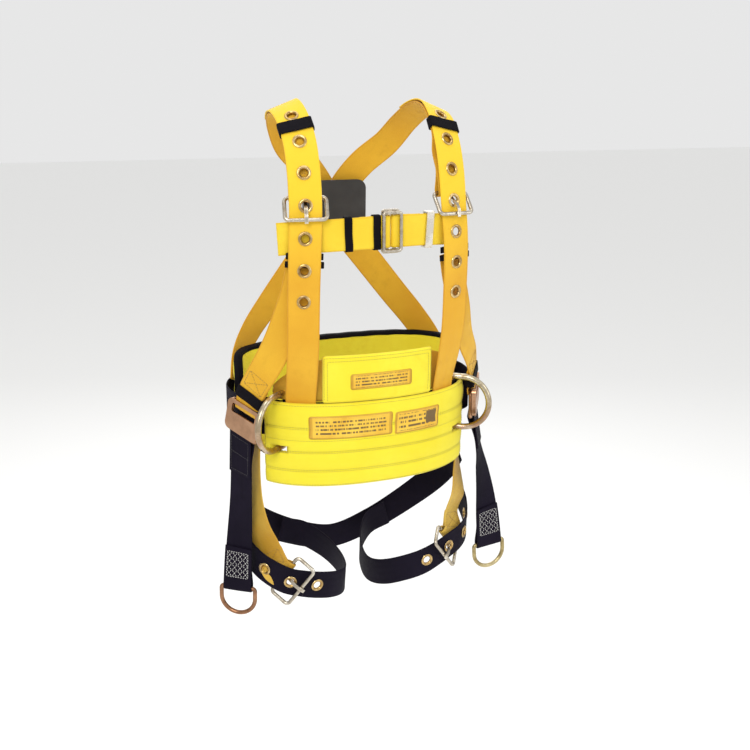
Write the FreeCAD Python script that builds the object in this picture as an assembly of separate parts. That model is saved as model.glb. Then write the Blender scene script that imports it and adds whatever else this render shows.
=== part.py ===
import FreeCAD, Part
import math
import os

# Full-body work harness with a padded belly belt, shown as it sits on the wearer.
# Millimetres. X to the wearer's left, -Y to the wearer's front, +Z up.
# The origin is the wearer's axis at the middle of the belt webs.

Vec = FreeCAD.Vector

# ---- driving dimensions
webWidth = 45.0          # body webbing
webThick = 2.2
beltWebHeight = 60.0
sideGap = 0.4            # free space kept between neighbouring layers
grommetPitch = 44.0
grommetHole = 5.5
grommetRim = 9.8
rodRadius = 2.8          # buckle frames
barDrop = 30.0           # free bar to pivot bar, along the strap
freeBarOut = 6.2         # free bar centre, out from the holed strap
pivotBarIn = -8.7        # pivot bar centre, in from the holed strap
underStrap = -4.2        # centre of the strap that lies under the holed one
wrapRadius = underStrap - pivotBarIn
frameHalf = 28.6         # buckle side arm, from the strap's middle
tongueWidth = 5.0
tongueThick = 2.6
beltHalfWidth = 176.0    # outer face of the belt webs
beltHalfDepth = 113.0
beltTop = 20.0
bellyBottom = -110.0
panelTop = 92.0
panelAngle = 26.5
padAngle = 66.0
labels = [("label_panel", 2, 52, 96, 24), ("label_main", -43, -16, 126, 36), ("label_inspection", 61, -18, 78, 35)]
lumbarHalfWidth = 186.0
lumbarHalfDepth = 113.0
hipRingReach = 70.0      # straight bar to the far end of the loop
hipRingHalf = 41.0
hipRingRod = 4.75
hipRingAngle = 54.0      # where the ring stands on the belt's outline
hipRingTurn = {"L": 55.0, "R": 50.0}     # where its loop points
hipRingZ = -11.0
beltZ = -11.0
webIn = -14.2            # outer face of the belt web behind the belly pad
backWebOut = 9.7         # middle of the belt web, out from the back pad's face
legSkew = 20.0
legFrameHalf = 34.0
legTilt = {"L": -8.0, "R": -4.5}         # its pivot bar lies deeper than a straight strap needs
chestBuckleAt = 160.0
chestRod = 2.4
chestWrap = 3.9
chestBar = 5.4           # the buckle's inner bars, from its middle
chestFrameOut = 3.7
hipPlateThick = 2.0
hipFrameHalf = 28.3
dorsalBar = (109.0, 268.0)
dorsalRod = 5.0
dorsalHalf = 40.0
dorsalReach = 62.0
dorsalRest = 40.0        # how far the ring rests below straight out
liftRingHalf = 27.0
leanReach = 90.0         # a web hanging askew from its bar is straight again this far on

# ---- lines on the wearer: points with the outward direction, for the left side
shoulderLine = [
    ((112.5, -82, -8), (.45, -.9, 0)), ((112.5, -82.5, 24), (.45, -.9, 0)), ((114, -97, 74), (.38, -1, 0)),
    ((115, -107, 120), (.32, -1, 0)),
    ((115, -111, 180), (.3, -1, 0)), ((113, -112, 250), (.28, -1, .05)), ((110, -107, 300), (.25, -1, .15)),
    ((109, -97, 348), (.25, -1, .35)), ((109, -78, 390), (.25, -.8, .6)), ((111, -50, 420), (.3, -.45, .9)),
    ((112, -14, 434), (.4, -.05, 1)), ((108, 26, 429), (.35, .35, .95)), ((98, 60, 408), (.25, .7, .7)),
    ((80, 88, 374), (.2, 1, .35)), ((48, 107, 342), (.1, 1, .15)), ((24, 116, 312), (0, 1, .05)),
    ((9, 120, 286), (0, 1, 0)), ((-3, 121, 262), (0, 1, 0)), ((-24, 120, 232), (-.05, 1, 0)),
    ((-62, 113, 184), (-.25, 1, 0)), ((-106, 107, 128), (-.4, 1, 0)), ((-139, 99, 86), (-.55, .9, 0)),
    ((-161, 86, 50), (-.7, .8, 0)), ((-173, 72, 12), (-.8, .6, 0)),
]
sideLine = [
    ((113, -105, 238), (.3, -1, 0)), ((122, -103, 190), (.35, -1, 0)), ((142, -94, 130), (.55, -1, 0)),
    ((164, -71, 70), (.75, -.8, 0)), ((181, -51, 25), (.85, -.6, 0)), ((189, -43, -14), (.88, -.47, 0)),
    ((193, -36, -40), (.88, -.47, 0)),
]
chestLine = [
    ((-148, -98, 262), (-.5, -1, 0)), ((-112, -104, 264), (-.3, -1, 0)), ((-60, -116, 267), (-.1, -1, 0)),
    ((0, -121, 269), (0, -1, 0)), ((60, -116, 269), (.1, -1, 0)), ((108, -104, 266), (.3, -1, 0)),
]
liftLineRight = [
    ((-193, -36, -40), (-.88, -.47, 0)), ((-196, -41, -85), (-.88, -.48, 0)), ((-201, -51, -150), (-.84, -.58, 0)),
    ((-207, -58, -220), (-.68, -.74, 0)), ((-211, -62, -276), (-.55, -.83, 0)),
]
liftLineLeft = [
    ((193, -36, -40), (.88, -.47, 0)), ((199, -42, -85), (.85, -.5, 0)), ((207, -53, -150), (.6, -.8, 0)),
    ((213, -60, -216), (.25, -1, 0)), ((218, -63, -271), (.05, -1, 0)),
]
legLines = {
    "L": [((96, 108, -270), (-.1, 1, 0)), ((60, 98, -280), (-.45, 1, 0)), ((34, 62, -292), (-1, .5, 0)),
          ((20, 18, -299), (-1, 0, 0)), ((15, -30, -298), (-1, -.4, 0)), ((25, -66, -288), (-.7, -1, 0)),
          ((48, -88, -276), (-.2, -1, 0)), ((79, -95, -267), (0, -1, 0)), ((106, -93, -258), (.3, -1, 0)),
          ((132, -86.5, -249), (.5, -1, 0)), ((158, -73, -243), (.7, -.8, 0)), ((178.5, -51, -236), (.9, -.5, 0)),
          ((190, -18, -222), (1, -.1, 0)), ((193, 14, -206), (1, .1, 0))],
    "R": [((96, 108, -272), (-.1, 1, 0)), ((60, 98, -280), (-.45, 1, 0)), ((36, 62, -290), (-1, .5, 0)),
          ((26, 18, -296), (-1, 0, 0)), ((28, -30, -296), (-1, -.4, 0)), ((42, -68, -290), (-.7, -1, 0)),
          ((65, -87, -283), (-.2, -1, 0)), ((97, -95, -274), (.1, -1, 0)), ((118, -95, -268), (.3, -1, 0)),
          ((139, -93, -261), (.45, -1, 0)), ((160.5, -84, -249), (.65, -.85, 0)), ((178, -66, -237), (.85, -.6, 0)),
          ((190, -35, -221), (1, -.2, 0)), ((193, -2, -206), (1, 0, 0))],
}
legBuckle = {"L": (115, -91, -255), "R": (119, -95, -268)}
riserLines = {
    "L": [((150.5, -63.5, -204), (.62, -.8, 0)), ((162, -62, -174), (.6, -.8, 0)), ((168, -45, -140), (.75, -.7, 0)),
          ((174, -24, -100), (.9, -.4, 0)), ((175, -20, -58), (.95, -.3, 0))],
    "R": [((167, -66.5, -212), (.65, -.76, 0)), ((180, -60, -180), (.7, -.7, 0)), ((184, -45, -146), (.8, -.6, 0)),
          ((180, -28, -104), (.9, -.4, 0)), ((175, -20, -58), (.95, -.3, 0))],
}
seatLine = [
    ((190, 14, -128), (1, 0, 0)), ((184, 58, -180), (1, .5, 0)), ((146, 100, -238), (.6, 1, 0)),
    ((76, 119, -286), (.2, 1, 0)), ((0, 121, -308), (0, 1, 0)),
]


class Track:
    """A smooth line on the wearer. at(s) gives the point, and the along, out and side directions."""

    def __init__(self, knots, side=1, step=4.0):
        rows = []
        for place, out in knots:
            out = Vec(out[0] * side, out[1], out[2]).normalize()
            rows.append((place[0] * side, place[1], place[2], out.x, out.y, out.z))
        rows = smooth(rows, step)
        self.points = [Vec(*row[:3]) for row in rows]
        hints = [Vec(*row[3:]) for row in rows]
        self.stations = [0.0]
        for a, b in zip(self.points, self.points[1:]):
            self.stations.append(self.stations[-1] + (b - a).Length)
        self.length = self.stations[-1]
        self.alongs = []
        self.outs = []
        last = len(self.points) - 1
        for i, hint in enumerate(hints):
            along = (self.points[min(last, i + 1)] - self.points[max(0, i - 1)]).normalize()
            self.alongs.append(along)
            self.outs.append((hint - along * hint.dot(along)).normalize())

    def at(self, s):
        low, high = 0, len(self.points) - 1
        while high - low > 1:
            middle = (low + high) // 2
            if self.stations[middle] <= s:
                low = middle
            else:
                high = middle
        share = (s - self.stations[low]) / (self.stations[high] - self.stations[low])
        inside = min(1.0, max(0.0, share))
        point = self.points[low] * (1 - share) + self.points[high] * share
        along = (self.alongs[low] * (1 - inside) + self.alongs[high] * inside).normalize()
        out = self.outs[low] * (1 - inside) + self.outs[high] * inside
        out = (out - along * out.dot(along)).normalize()
        return point, along, out, along.cross(out)

    def nearest(self, place):
        """The arc length of the point of the line that is nearest a place."""
        gaps = [(point - place).Length for point in self.points]
        return self.stations[gaps.index(min(gaps))]

    def spot(self, s, n=0.0):
        """A placement with X across the strap, Y along it and Z out of it."""
        point, along, out, side = self.at(s)
        point = point + out * n
        return FreeCAD.Placement(FreeCAD.Matrix(
            side.x, along.x, out.x, point.x,
            side.y, along.y, out.y, point.y,
            side.z, along.z, out.z, point.z,
            0, 0, 0, 1))


def smooth(knots, step):
    """Rows between the knots on a centripetal Catmull-Rom curve, about step apart."""
    size = len(knots[0])
    space = min(3, size)
    before = tuple(2 * a - b for a, b in zip(knots[0], knots[1]))
    after = tuple(2 * a - b for a, b in zip(knots[-1], knots[-2]))
    rows = [before] + list(knots) + [after]
    found = []
    for i in range(1, len(rows) - 2):
        four = rows[i - 1:i + 3]
        gaps = [math.sqrt(sum((b[k] - a[k]) ** 2 for k in range(space))) ** 0.5 + 1e-6
                for a, b in zip(four, four[1:])]
        times = [0, gaps[0], gaps[0] + gaps[1], sum(gaps)]
        count = max(1, round(gaps[1] ** 2 / step))
        for j in range(count):
            t = times[1] + gaps[1] * j / count

            def mix(a, b, start, end):
                return tuple(x * (end - t) / (end - start) + y * (t - start) / (end - start)
                             for x, y in zip(a, b))

            ab = mix(four[0], four[1], times[0], times[1])
            bc = mix(four[1], four[2], times[1], times[2])
            cd = mix(four[2], four[3], times[2], times[3])
            found.append(mix(mix(ab, bc, times[0], times[2]), mix(bc, cd, times[1], times[3]),
                             times[1], times[2]))
    found.append(tuple(knots[-1]))
    return found


def arcProfile(s, n, radius, start, end, count=9):
    """Profile points on a circle about (s, n). Angles in degrees, 0 along the strap and 90 outward."""
    points = []
    for i in range(count):
        angle = math.radians(start + (end - start) * i / (count - 1))
        points.append((s + radius * math.cos(angle), n + radius * math.sin(angle)))
    return points


def strap(track, profile, width=webWidth, thick=webThick, step=13.0, bar=None, spans=1):
    """A flat web whose centre follows the (station, out) profile of a track. It lies square to bar at its start.
    Each of its four long faces is divided into spans."""
    rows = smooth([(s, n, 0.0) for s, n in profile], step)
    corners = [[], [], [], []]
    lengths = [0.0]
    centres = []
    for i, (s, n, _) in enumerate(rows):
        before, after = rows[max(0, i - 1)], rows[min(len(rows) - 1, i + 1)]
        ds, dn = after[0] - before[0], after[1] - before[1]
        point, along, out, side = track.at(s)
        if bar and s < leanReach:
            share = min(1.0, max(0.0, 1.6 * (1 - s / leanReach)))
            side = (side * (1 - share) + bar * share).normalize()
            out = (out - side * out.dot(side)).normalize()
            along = out.cross(side)
        face = (out * ds - along * dn) * (1 / math.hypot(ds, dn))
        centre = point + out * n
        if centres:
            lengths.append(lengths[-1] + (centre - centres[-1]).Length)
        centres.append(centre)
        across = side * (width / 2)
        depth = face * (thick / 2)
        for corner, shift in zip(corners, (across + depth, depth - across, across * -1 - depth, across - depth)):
            corner.append(centre + shift)
    curves = []
    for points in corners:
        curve = Part.BSplineCurve()
        curve.interpolate(Points=points, Parameters=lengths)
        curves.append(curve)
    faces = []
    for one, other in zip(curves, curves[1:] + curves[:1]):
        for i in range(spans):
            surface = Part.BSplineSurface()
            surface.buildFromPolesMultsKnots([one.getPoles(), other.getPoles()], [2, 2], one.getMultiplicities(),
                                             [0, 1], one.getKnots(), False, False, 1, one.Degree)
            if spans > 1:
                surface.segment(0, 1, lengths[-1] * i / spans, lengths[-1] * (i + 1) / spans)
            faces.append(surface.toShape())
    for end in (0, -1):
        loop = [points[end] for points in corners]
        faces.append(Part.Face(Part.makePolygon(loop + loop[:1])))
    shell = Part.makeShell(faces)
    shell.sewShape()
    solid = Part.makeSolid(shell)
    if solid.Volume < 0:
        solid.reverse()
    return solid


def rod(edges, radius, start, direction):
    """A round bar along joined edges."""
    ring = Part.Wire(Part.makeCircle(radius, start, direction))
    return Part.Wire(edges).makePipeShell([ring], True, True)


def line(a, b):
    return Part.LineSegment(Vec(*a), Vec(*b)).toShape()


def arc(a, b, c):
    return Part.Arc(Vec(*a), Vec(*b), Vec(*c)).toShape()


def roundedLoop(halfWide, top, bottom, corner, radius, foot=None):
    """A closed rod frame in the XY plane. foot is the reach of a half-round end, as on a D-ring."""
    k = corner * (1 - math.sqrt(0.5))
    edges = [
        line((-halfWide + corner, top, 0), (halfWide - corner, top, 0)),
        arc((halfWide - corner, top, 0), (halfWide - k, top - k, 0), (halfWide, top - corner, 0)),
    ]
    if foot is None:
        edges += [
            line((halfWide, top - corner, 0), (halfWide, bottom + corner, 0)),
            arc((halfWide, bottom + corner, 0), (halfWide - k, bottom + k, 0), (halfWide - corner, bottom, 0)),
            line((halfWide - corner, bottom, 0), (-halfWide + corner, bottom, 0)),
            arc((-halfWide + corner, bottom, 0), (-halfWide + k, bottom + k, 0), (-halfWide, bottom + corner, 0)),
        ]
        low = bottom + corner
    else:
        low = top - foot + halfWide
        edges += [
            line((halfWide, top - corner, 0), (halfWide, low, 0)),
            arc((halfWide, low, 0), (0, low - halfWide, 0), (-halfWide, low, 0)),
        ]
    edges += [
        line((-halfWide, low, 0), (-halfWide, top - corner, 0)),
        arc((-halfWide, top - corner, 0), (-halfWide + k, top - k, 0), (-halfWide + corner, top, 0)),
    ]
    return rod(edges, radius, Vec(-halfWide + corner, top, 0), Vec(1, 0, 0))


def placed(shape, spot):
    moved = shape.copy()
    moved.Placement = spot.multiply(moved.Placement)
    return moved


# ---- grommets
def grommet():
    """An eyelet on the Z axis with flared lips on both faces of the web."""
    wall = 0.8
    lipOut = 2.5
    lipIn = webThick / 2 + 0.55
    flare = 1.6
    outline = [
        arc((grommetHole + flare, 0, lipOut), (grommetHole + 0.5, 0, 1.6), (grommetHole, 0, 0)),
        arc((grommetHole, 0, 0), (grommetHole + 0.5, 0, -1.6), (grommetHole + flare, 0, -lipOut)),
        arc((grommetHole + flare, 0, -lipOut), (grommetRim - 0.8, 0, -lipOut + 0.05), (grommetRim, 0, -lipIn - 0.1)),
        line((grommetRim, 0, -lipIn - 0.1), (grommetRim - 0.4, 0, -lipIn)),
        line((grommetRim - 0.4, 0, -lipIn), (grommetHole + wall + 0.4, 0, -lipIn)),
        line((grommetHole + wall + 0.4, 0, -lipIn), (grommetHole + wall + 0.4, 0, lipIn)),
        line((grommetHole + wall + 0.4, 0, lipIn), (grommetRim - 0.4, 0, lipIn)),
        line((grommetRim - 0.4, 0, lipIn), (grommetRim, 0, lipIn + 0.1)),
        arc((grommetRim, 0, lipIn + 0.1), (grommetRim - 0.8, 0, lipOut - 0.05), (grommetHole + flare, 0, lipOut)),
    ]
    return Part.Face(Part.Wire(outline)).revolve(Vec(0, 0, 0), Vec(0, 0, 1), 360)


def punched(web, track, stations, n=0.0):
    """The web with a hole at each station, and the group of grommets that line them."""
    drill = Part.makeCylinder(grommetHole + 1.5, 8, Vec(0, 0, -2.3), Vec(0, 0, 1))
    for s in stations:
        web = web.cut(placed(drill, track.spot(s, n)))
    eyelet = grommet()
    return web, Part.makeCompound([placed(eyelet, track.spot(s, n)) for s in stations])


# ---- tongue buckle: free bar at the spot, pivot bar further along the strap and deeper
def buckleFrame(half=frameHalf):
    length = math.hypot(barDrop, freeBarOut - pivotBarIn)
    frame = roundedLoop(half, length, 0, 6, rodRadius)
    tilt = math.degrees(math.atan2(pivotBarIn - freeBarOut, barDrop))
    frame.rotate(Vec(0, 0, 0), Vec(1, 0, 0), tilt)
    frame.translate(Vec(0, 0, freeBarOut))
    return frame


def buckleSpot(track, start):
    """Where a tongue buckle sits: pivot bar in the carrying web's fold, free bar over the holed strap."""
    fold = track.spot(start + barDrop, pivotBarIn)
    free = track.spot(start, freeBarOut).Base
    tilt = math.degrees(math.atan2(pivotBarIn - freeBarOut, barDrop))
    back = FreeCAD.Placement(Vec(0, 0, 0), FreeCAD.Rotation(Vec(1, 0, 0), -tilt))
    spot = alignment(free, fold.Rotation.multVec(Vec(1, 0, 0)), fold.Base - free).multiply(back)
    spot.Base = fold.Base - spot.Rotation.multVec(Vec(0, barDrop, pivotBarIn))
    return spot


def buckleTongue():
    """A flat tongue with an eye on the pivot bar, through the grommet and over the free bar."""
    knots = [(barDrop - 2.8, pivotBarIn + 3.4), (22.8, -4.6), (19.9, -1.8), (17.2, 2.0), (13.5, 6.4), (8, 9.9),
             (3.5, 11.2), (-4, 11.0)]
    rows = smooth([(y, z, 0.0) for y, z in knots], 3.0)
    upper, lower = [], []
    for i, (y, z, _) in enumerate(rows):
        a, b = rows[max(0, i - 1)], rows[min(len(rows) - 1, i + 1)]
        dy, dz = b[0] - a[0], b[1] - a[1]
        scale = tongueThick / 2 / math.hypot(dy, dz)
        upper.append(Vec(-tongueWidth / 2, y + dz * scale, z - dy * scale))
        lower.append(Vec(-tongueWidth / 2, y - dz * scale, z + dy * scale))
    top, bottom = Part.BSplineCurve(), Part.BSplineCurve()
    top.interpolate(upper)
    bottom.interpolate(lower)
    tip = Part.Arc(upper[-1], (upper[-1] + lower[-1]) * 0.5 + Vec(0, -tongueThick / 2, 0), lower[-1]).toShape()
    edges = [top.toShape(), tip, bottom.toShape(), Part.LineSegment(lower[0], upper[0]).toShape()]
    body = Part.Face(Part.Wire(Part.__sortEdges__(edges))).extrude(Vec(tongueWidth, 0, 0))
    base = Vec(-tongueWidth / 2, barDrop, pivotBarIn)
    eye = Part.makeCylinder(rodRadius + 2.2, tongueWidth, base, Vec(1, 0, 0))
    hole = Part.makeCylinder(rodRadius + 0.3, tongueWidth, base, Vec(1, 0, 0))
    return body.fuse(eye).cut(hole).removeSplitter()


def fold(bar, way, top, radius=wrapRadius, tail=48.0):
    """Profile of a web that comes from +s (way 1) or -s (way -1) at height top, turns round a bar and is sewn back."""
    under = top - webThick - 0.5
    return ([(bar + way * 14, top), (bar + way * 6, top)]
            + arcProfile(bar, top - radius, radius, 90, 270 if way > 0 else -90)
            + [(bar + way * 7, top - 2 * radius + 0.6), (bar + way * 20, under - 2.2), (bar + way * 32, under),
               (bar + way * tail, under)])


def slotted(web, spot):
    """The fold's slot that the tongue turns in."""
    slot = Part.makeBox(tongueWidth + 3, 16, 14, Vec(-tongueWidth / 2 - 1.5, barDrop - 10, pivotBarIn - 7))
    return web.cut(placed(slot, spot))


# ---- belt
def beltPoint(angle, offset, z, halfWidth, halfDepth, power):
    """A point of the belt's outline. Angle 0 is the wearer's front, 90 the left side."""
    c, s = math.sin(math.radians(angle)), -math.cos(math.radians(angle))
    x = (halfWidth + offset) * math.copysign(abs(c) ** (2 / power), c)
    y = (halfDepth + offset) * math.copysign(abs(s) ** (2 / power), s)
    return Vec(x, y, z)


def bandSolid(first, last, low, high, inner, outer, front=True):
    """A band round the waist, between two angles, two heights and two offsets."""
    shape = (beltHalfWidth, beltHalfDepth, 2.3) if front else (lumbarHalfWidth, lumbarHalfDepth, 2.9)
    count = max(5, round(abs(last - first) / 6))
    curves = []
    ends = []
    for offset in (inner, outer):
        points = [beltPoint(first + (last - first) * i / count, offset, low, *shape) for i in range(count + 1)]
        curve = Part.BSplineCurve()
        curve.interpolate(points)
        curves.append(curve.toShape())
        ends.append((points[0], points[-1]))
    edges = curves + [Part.LineSegment(ends[0][k], ends[1][k]).toShape() for k in (0, 1)]
    return Part.Face(Part.Wire(Part.__sortEdges__(edges))).extrude(Vec(0, 0, high - low))


def keeperLoop(halfWide, low, high, length, wall=1.4):
    """A flat sleeve round the straps, centred on its spot."""
    outer = Part.makeBox(2 * (halfWide + wall), length, high - low + 2 * wall,
                         Vec(-halfWide - wall, -length / 2, low - wall))
    outer = outer.makeFillet(1.2, [e for e in outer.Edges if abs(e.tangentAt(e.FirstParameter).y) > 0.9])
    return outer.cut(Part.makeBox(2 * halfWide, length, high - low, Vec(-halfWide, -length / 2, low)))


def hipPlate():
    """The stamped face of the hip buckle: a window over the web's roll, and two flanges on the frame's side arms."""
    face = wrapRadius + webThick / 2 + 1.6
    flange = rodRadius
    rim, inside, below, above = 33.5, 24.2, -39, 11
    plate = Part.makeBox(2 * rim, above - below, face + hipPlateThick - flange, Vec(-rim, below, flange))
    plate = plate.makeFillet(9, [e for e in plate.Edges if abs(e.tangentAt(e.FirstParameter).z) > 0.9])
    channel = Part.makeBox(2 * inside, above - below + 2, face - flange, Vec(-inside, below - 1, flange))
    window = Part.makeBox(2 * inside, 14, 2 * face, Vec(-inside, -9, flange))
    window = window.makeFillet(3, [e for e in window.Edges if abs(e.tangentAt(e.FirstParameter).z) > 0.9])
    return plate.cut(channel).cut(window)


def alignment(origin, across, up):
    """A placement from an origin, a direction for X and a direction near Y."""
    z = across.cross(up).normalize()
    y = z.cross(across).normalize()
    return FreeCAD.Placement(FreeCAD.Matrix(
        across.x, y.x, z.x, origin.x,
        across.y, y.y, z.y, origin.y,
        across.z, y.z, z.z, origin.z,
        0, 0, 0, 1))


pieces = {}


def holedStrap(name, track, bar, profile, counts, pitch, width=webWidth):
    """The web that goes through a tongue buckle, with its grommets. counts are steps from the tongue's hole."""
    holes = [bar + 18.5 + pitch * k for k in counts]
    web = strap(track, profile, width)
    pieces[name], pieces[name + "_grommets"] = punched(web, track, holes)


for side, tag in ((1, "L"), (-1, "R")):
    # shoulder: the holed front strap runs up the chest, through the buckle and over the shoulder
    track = Track(shoulderLine, side)
    bar = track.nearest(Vec(side * 111, -108, 288))
    top = track.nearest(Vec(side * 112, -46, 423))
    holedStrap("front_strap_" + tag, track, bar, [(0, 0), (bar, 0), (top, 0), (top + 95, 0)],
               range(-3, 4), grommetPitch)
    spot = buckleSpot(track, bar)
    pieces["shoulder_buckle_frame_" + tag] = placed(buckleFrame(), spot)
    pieces["shoulder_buckle_tongue_" + tag] = placed(buckleTongue(), spot)
    pieces["shoulder_keeper_" + tag] = placed(keeperLoop(webWidth / 2 + 0.6, -6.6, 2.2, 19), track.spot(top - 21))
    # the strap behind it carries the buckle, goes over the shoulder and crosses to the far hip
    cross = track.nearest(Vec(0, 121, 268))
    atCross = -1.6 - (0 if side > 0 else webThick + 1.0)
    back = fold(bar + barDrop, 1, underStrap)[::-1] + [
        (bar + 62, underStrap - 2.5), (bar + 90, underStrap - 6), (top - 40, underStrap), (top - 5, underStrap),
        (top + 100, underStrap), (cross - 60, atCross), (cross, atCross), (cross + 60, atCross),
        (track.length - 60, 0), (track.length, 0)]
    pieces["shoulder_strap_" + tag] = slotted(strap(track, back), spot)

    # side strap from the chest to the hip buckle
    track = Track(sideLine, side)
    low = track.length
    high = low - 44
    pieces["side_strap_" + tag] = strap(track, [(6, -6.6), (40, -6.5), (150, -6), (192, 0)]
                                        + fold(high, -1, 0))
    hipBar = track.at(high)[3]
    hanging = Track(liftLineLeft if side > 0 else liftLineRight)
    outward = hanging.at(0)[2]
    outward = (outward - hipBar * outward.dot(hipBar)).normalize()
    foot = hanging.at(0)[0] - outward * wrapRadius
    head = track.spot(high, -wrapRadius).Base
    frame = roundedLoop(hipFrameHalf, (head - foot).Length, 0, 6, rodRadius)
    pieces["hip_buckle_frame_" + tag] = placed(frame, alignment(foot, hipBar, head - foot))
    pieces["hip_buckle_plate_" + tag] = placed(hipPlate(), alignment(head, hipBar * -1, head - foot))
    pieces["hip_keeper_" + tag] = placed(keeperLoop(webWidth / 2 + 0.6, -8.5, 2.0, 18), track.spot(high - 24))

    # lift strap hanging from the hip buckle, with its ring
    track = hanging
    ringBar = track.length
    ringWrap = wrapRadius + 0.5
    profile = fold(0, 1, 0)[::-1] + [(60, 0), (ringBar - 70, 0)] + fold(ringBar, -1, 0, ringWrap)
    pieces["lift_strap_" + tag] = strap(track, profile, bar=hipBar)
    ring = roundedLoop(liftRingHalf, 0, None, 5, rodRadius + 0.5, 44)
    spot = track.spot(ringBar, -ringWrap)
    pieces["lift_d_ring_" + tag] = placed(ring, alignment(spot.Base, track.at(ringBar)[3], Vec(0, 0, 1)))

    # hip D-ring: its straight bar is held behind the belt web, and the loop stands out past the web
    ring = roundedLoop(hipRingHalf, 0, None, 9, hipRingRod, hipRingReach)
    bar = beltPoint(hipRingAngle, webIn - webThick - hipRingRod - sideGap, hipRingZ, beltHalfWidth, beltHalfDepth, 2.3)
    bar.x *= side
    turn = math.radians(hipRingTurn[tag])
    inward = Vec(-side * math.sin(turn), math.cos(turn), 0)
    pieces["hip_d_ring_" + tag] = placed(ring, alignment(bar, Vec(0, 0, 1), inward))

    # leg strap: holed web round the thigh, and the riser from the hip that carries its buckle
    track = Track(legLines[tag], side)
    bar = track.nearest(Vec(side * legBuckle[tag][0], *legBuckle[tag][1:]))
    holedStrap("leg_strap_" + tag, track, bar, [(0, -6), (60, -3), (110, 0), (bar, 0), (track.length, 0)],
               range(-1, 3), grommetPitch)
    spot = track.spot(bar + 12)
    skew = FreeCAD.Rotation(Vec(0, 0, 1), side * legSkew).multiply(FreeCAD.Rotation(Vec(1, 0, 0), legTilt[tag]))
    spot = spot.multiply(FreeCAD.Placement(Vec(0, 0, 0), skew))
    spot = spot.multiply(FreeCAD.Placement(Vec(0, -12, 0), FreeCAD.Rotation()))
    pieces["leg_buckle_frame_" + tag] = placed(buckleFrame(legFrameHalf), spot)
    pieces["leg_buckle_tongue_" + tag] = placed(buckleTongue(), spot)
    outward = spot.Rotation.multVec(Vec(0, 0, 1))
    start = [(spot.multVec(Vec(0, barDrop + y, z)), outward) for y, z in ((-16, 0), (0, 0), (16, -3))]
    track = Track([(tuple(p), tuple(out)) for p, out in start]
                  + [((side * p[0], p[1], p[2]), (side * out[0], out[1], out[2])) for p, out in riserLines[tag]])
    web = strap(track, fold(16, 1, underStrap)[::-1] + [(90, underStrap - 2), (track.length, underStrap)])
    pieces["leg_riser_" + tag] = slotted(web, spot)

# seat strap behind the thighs
half = seatLine[:-1]
knots = half + [seatLine[-1]] + [((-p[0], p[1], p[2]), (-o[0], o[1], o[2])) for p, o in half[::-1]]
track = Track(knots)
pieces["seat_strap"] = strap(track, [(0, 0), (track.length, 0)])

# chest strap: two webs, each sewn round a bar of the buckle that joins them
track = Track(chestLine)
across = track.length
oneFold, otherFold = chestBuckleAt - chestBar, chestBuckleAt + chestBar
pieces["chest_strap_right"] = strap(track, [(0, 0), (oneFold - 45, 0)] + fold(oneFold, -1, 0, chestWrap, 40))
pieces["chest_strap_left"] = strap(track, fold(otherFold, 1, 0, chestWrap, 40)[::-1] + [
    (otherFold + 60, 0), (across, 0)])
spot = track.spot(chestBuckleAt)
rim = roundedLoop(26.5, 13, -13, 3, chestRod)
rim.translate(Vec(0, 0, chestFrameOut))
plateTop = 1.2 - chestWrap
for x in (-27, 27):
    rim = rim.fuse(Part.makeCylinder(2, chestFrameOut - plateTop, Vec(x, 0, plateTop), Vec(0, 0, 1)))
pieces["chest_buckle_outer"] = placed(rim, spot)
plate = Part.makeBox(62, 28, 2.4, Vec(-31, -14, plateTop - 2.4))
plate = plate.makeFillet(5, [e for e in plate.Edges if abs(e.tangentAt(e.FirstParameter).z) > 0.9])
for low, wide in ((-chestBar - 6, 3.9), (-3.3, 6.6), (chestBar + 2.1, 3.9)):
    plate = plate.cut(Part.makeBox(48, wide, 5, Vec(-24, low, plateTop - 3.7)))
pieces["chest_buckle_inner"] = placed(plate, spot)
pieces["chest_adjuster"] = placed(keeperLoop(webWidth / 2 + 1, -2 * webThick - 1.4, webThick / 2 + 0.3, 12, 2.2),
                                  track.spot(track.nearest(Vec(70, -115, 269))))
for name, x in (("chest_keeper_outer", -54), ("chest_keeper_inner", -12)):
    pieces[name] = placed(keeperLoop(webWidth / 2 + 0.6, -8.6, 1.6, 11, 1.2), track.spot(track.nearest(Vec(x, -117, 268))))

# belt: one web all round behind the belly pad and over the back pad, closed at the back
knots = []
for i in range(39):
    angle = 180 - 12 * i
    turned = (angle + 180) % 360 - 180
    if abs(turned) < 78:
        point = beltPoint(turned, webIn - webThick / 2, beltZ, beltHalfWidth, beltHalfDepth, 2.3)
    elif abs(turned) > 84:
        point = beltPoint(turned, backWebOut, beltZ, lumbarHalfWidth, lumbarHalfDepth, 2.9)
    else:
        point = beltPoint(turned, 0, beltZ, lumbarHalfWidth, lumbarHalfDepth, 2.4)
    knots.append(((point.x, point.y, point.z), (point.x / beltHalfWidth ** 2, point.y / beltHalfDepth ** 2, 0)))
track = Track(knots)
gaps = [(point - track.points[0]).Length for point in track.points]
half = len(gaps) // 2
lap = track.stations[gaps.index(min(gaps[half:]), half)]
profile = fold(barDrop, 1, underStrap)[::-1] + [
    (90, underStrap), (136, underStrap), (164, 0), (lap, 0), (lap + 150, 0)]
spot = buckleSpot(track, 0)
web = slotted(strap(track, profile, beltWebHeight, spans=8), spot)
pieces["belt_web"], pieces["belt_grommets"] = punched(web, track, [lap + 18.5 + 30 * k for k in range(-2, 4)])
pieces["belt_buckle_frame"] = placed(buckleFrame(beltWebHeight / 2 + 4.5), spot)
pieces["belt_buckle_tongue"] = placed(buckleTongue(), spot)
pieces["belt_keeper"] = placed(keeperLoop(beltWebHeight / 2 + 0.6, underStrap - 2.4, 2.6, 18), track.spot(126))

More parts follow.
